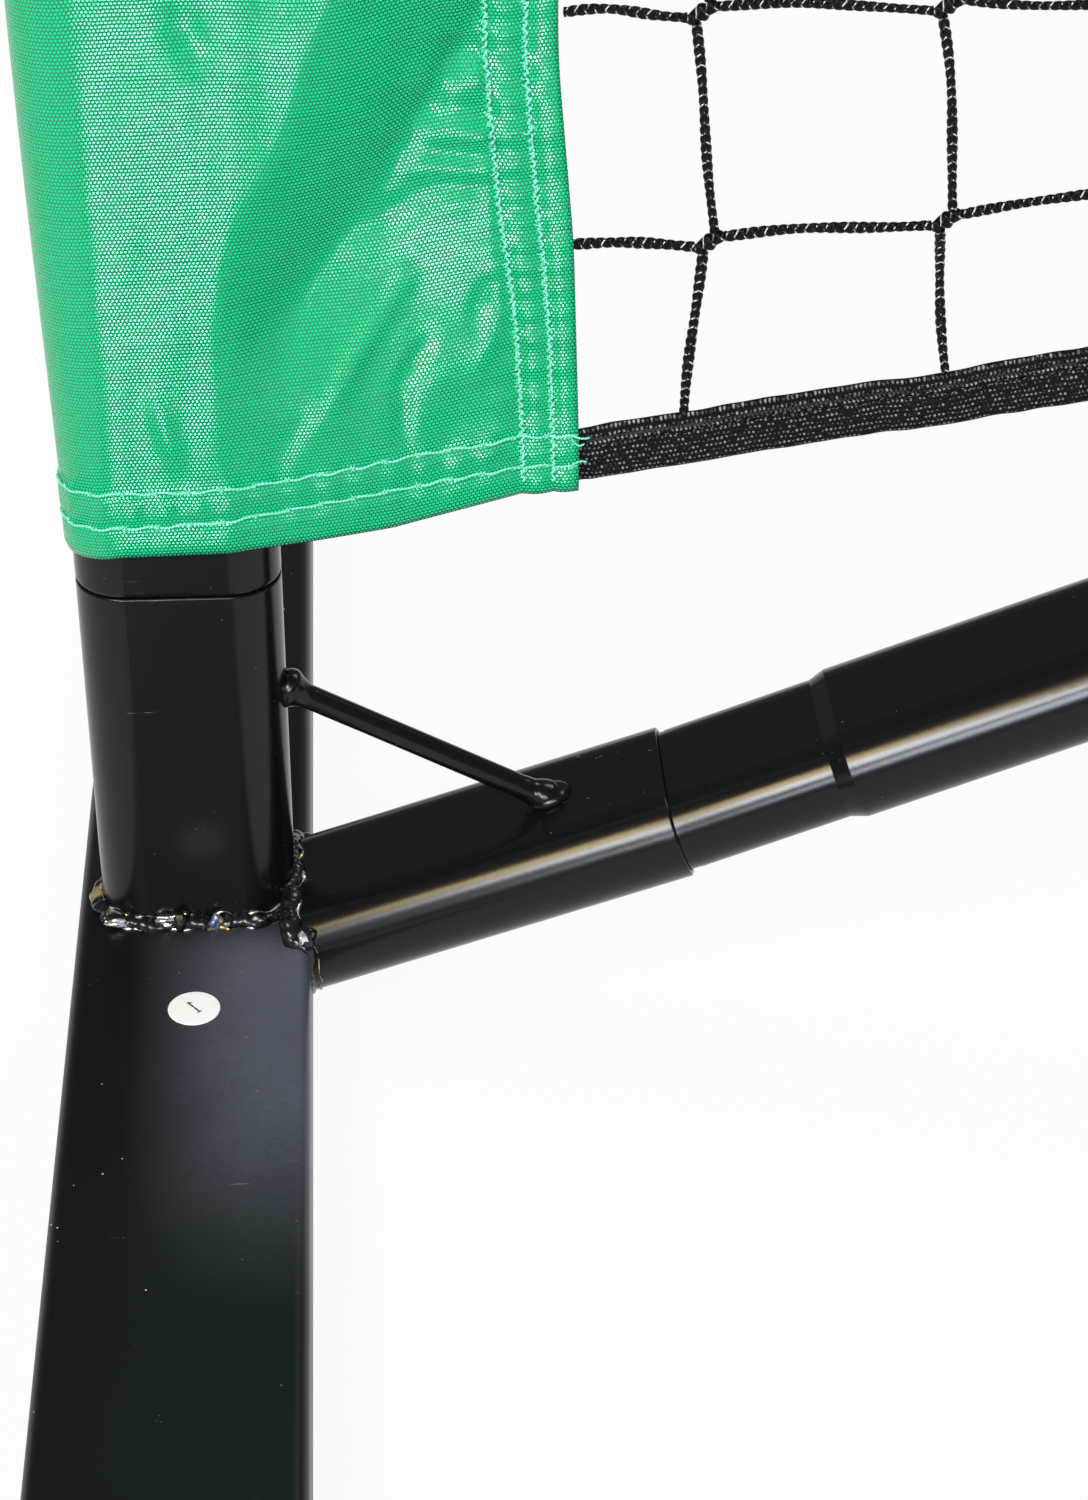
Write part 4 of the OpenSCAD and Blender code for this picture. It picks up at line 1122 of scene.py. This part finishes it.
def lip(centre, across, along):
    """Rounded burr round a tube's mouth: a thin ring along its flat oval."""
    x, y = oval(np.linspace(0, 1, 181), 39.0, 19.0)
    path = centre + x[:, None] * np.array(across) + y[:, None] * np.array(along)
    out = np.cross(across, along)
    side = np.cross(round_ahead(path), out)
    turn = np.linspace(0, TURN, 11)[:, None]
    points = path + 0.52 * (np.sin(turn)[..., None] * out + np.cos(turn)[..., None] * side)
    return points, flat_at(turn / TURN, np.linspace(0, 100, 181))


def brace():
    """Brace rod from the socket's side to the stub's top: it swells into a round tack above and runs out
    into a flattened one below."""
    upper = np.array([20.0, 0.0, FOOT_TOP + 51.0])
    lower = STUB_ROOT + 56.0 * ALONG + 10.0 * SQUARE
    way = lower - upper
    far = np.linalg.norm(way)
    at = [np.linspace(-3.5, 6, 26), np.linspace(6, far - 8, 40)[1:], np.linspace(far - 8, far + 3.5, 30)[1:]]
    at = np.concatenate(at)
    size = 2.5 + 1.75 * bell(at, 0.3, 2.4) + 1.3 * bell(at, far - 0.3, 3.0)
    size = size * np.sqrt(1 - ramp(-at, 0.6, 3.5) ** 2) * np.sqrt(1 - ramp(at - far, 0.4, 3.5) ** 2)
    size = size * (1 + 0.035 * ripple(4.0, 91, at) * (bell(at, 0, 5) + bell(at, far, 6)))
    rod = tubes(upper + way / far * at[:, None], closed(size), 28)
    lump, flat = blob((0, 0, 0), (4.9, 4.3, 1.9), 92, 0.10)
    lump = lump @ np.array([ALONG, [0, 1.0, 0], SQUARE])
    return [rod, (lower + 0.5 * SQUARE + 0.6 * ALONG + lump, flat)]


# the foot bars' finish is rougher and carries a bluish sheen painted into its colour: a painted reflection
powder, foot_powder_with_sheen = powder_black(), powder_black("powder_foot_painted_sheen", 0.17)
welded, glinting = weld_black(), weld_bare()
for label, side in (("left", -1), ("right", 1)):
    seed = 101 if side < 0 else 151
    foot_bead = socket_line(0.5) + [0, 0, 0.35]
    root_bead = stub_line() + 0.25 * SQUARE
    thin = 0.40 + 0.60 * rise(stub_line()[:, 2], 21.0, 27.5)
    grids = [bead(foot_bead, 1.85, seed, flat=0.75), bead(root_bead, 1.9, seed + 20, 2.4, share=thin)]
    spots = [((20.6, -11.6, 25.6), (2.2, 2.4, 2.6)), ((22.2, -17.8, 27.0), (2.3, 2.0, 2.5)),
             ((-3.5, -11.8, 27.4), (1.5, 1.6, 2.2)), ((12.5, -11.4, 27.2), (2.0, 1.4, 1.3)),
             ((-18.6, -6.8, 26.4), (1.6, 2.0, 1.4)), ((21.5, 12.2, 25.4), (2.2, 2.2, 2.4))]
    for number, (centre, radii) in enumerate(spots):
        grids.append(blob(centre, radii, seed + 40 + number))
    beads = new_surface(f"weld_beads_{label}", grids, welded, "frame", side)
    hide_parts(f"weld_{label}")
    new_surface(f"weld_toes_{label}", weld_toes(seed + 60), glinting, "frame", side)
    rods = new_surface(f"brace_{label}", brace(), powder, "frame", side)
    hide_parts(f"brace_rod_{label}")
    mouth = STUB_ROOT + (STUB_LEN - 0.05) * ALONG
    lips = [lip((0, 0, RIM - 0.05), (1.0, 0, 0), (0, 1.0, 0)), lip(mouth, (0, 1.0, 0), SQUARE)]
    new_surface(f"tube_mouths_{label}", lips, powder, "frame", side)

# ---- round label on the left foot ----
LABEL_Y = -38.0


def label_disc():
    """Round paper label, a little domed, with a thin rim down to the foot."""
    turn = np.linspace(0, TURN, 65)[:, None]
    r = np.array([5.2, 5.2, 5.12, 4.9, 3.5, 1.8, 0.0])
    z = FOOT_TOP + np.array([-0.02, 0.10, 0.14, 0.15, 0.16, 0.165, 0.17])
    return np.stack(np.broadcast_arrays(r * np.cos(turn), LABEL_Y + r * np.sin(turn), z), -1), flat_at(turn, r)


def stroke(start, end, wide, seed):
    """Inked stroke on the label: a thin pad with slightly wavering sides."""
    t, s = np.linspace(0, 1, 14)[None], np.array([-1, -1, 1, 1])[:, None]
    way = unit(end - start)
    across = np.array([way[1], -way[0]])
    reach = wide / 2 * (1 + 0.15 * ripple(1.2, seed, t * 4)) * s
    flat = start + (end - start) * t[..., None] + across * reach[..., None]
    top = FOOT_TOP + np.array([0.10, 0.20, 0.20, 0.10])[:, None] + 0 * t
    return np.concatenate([flat, top[..., None]], -1), flat_at(s, t)


paper, ink = sticker_white(), sticker_ink()
new_surface("number_label", [label_disc()], paper, "frame")
head, heel = np.array([-1.4, 1.8 + LABEL_Y]), np.array([1.12, -1.19 + LABEL_Y])
slant = unit(heel - head)
cross = np.array([slant[1], -slant[0]]) * 0.55
strokes = [stroke(head, heel, 0.34, 1), stroke(heel - cross, heel + cross, 0.24, 2),
           stroke(head, head + slant * 0.75 - cross, 0.24, 3)]
new_surface("number_one", strokes, ink, "frame")

# ---- finishes on the frame's own nodes ----

finishes = {"black_tube": powder, "weld": welded, "boot_rubber": boot_rubber(), "cap_plastic": cap_plastic(),
            "head_cord": rope()}
for name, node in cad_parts.items():
    for place in node.material_slots:
        kind = place.material.name.split(".")[0]
        if kind in finishes:
            # the foot bars take the finish with the painted sheen
            place.material = foot_powder_with_sheen if name.startswith("foot_bar") else finishes[kind]
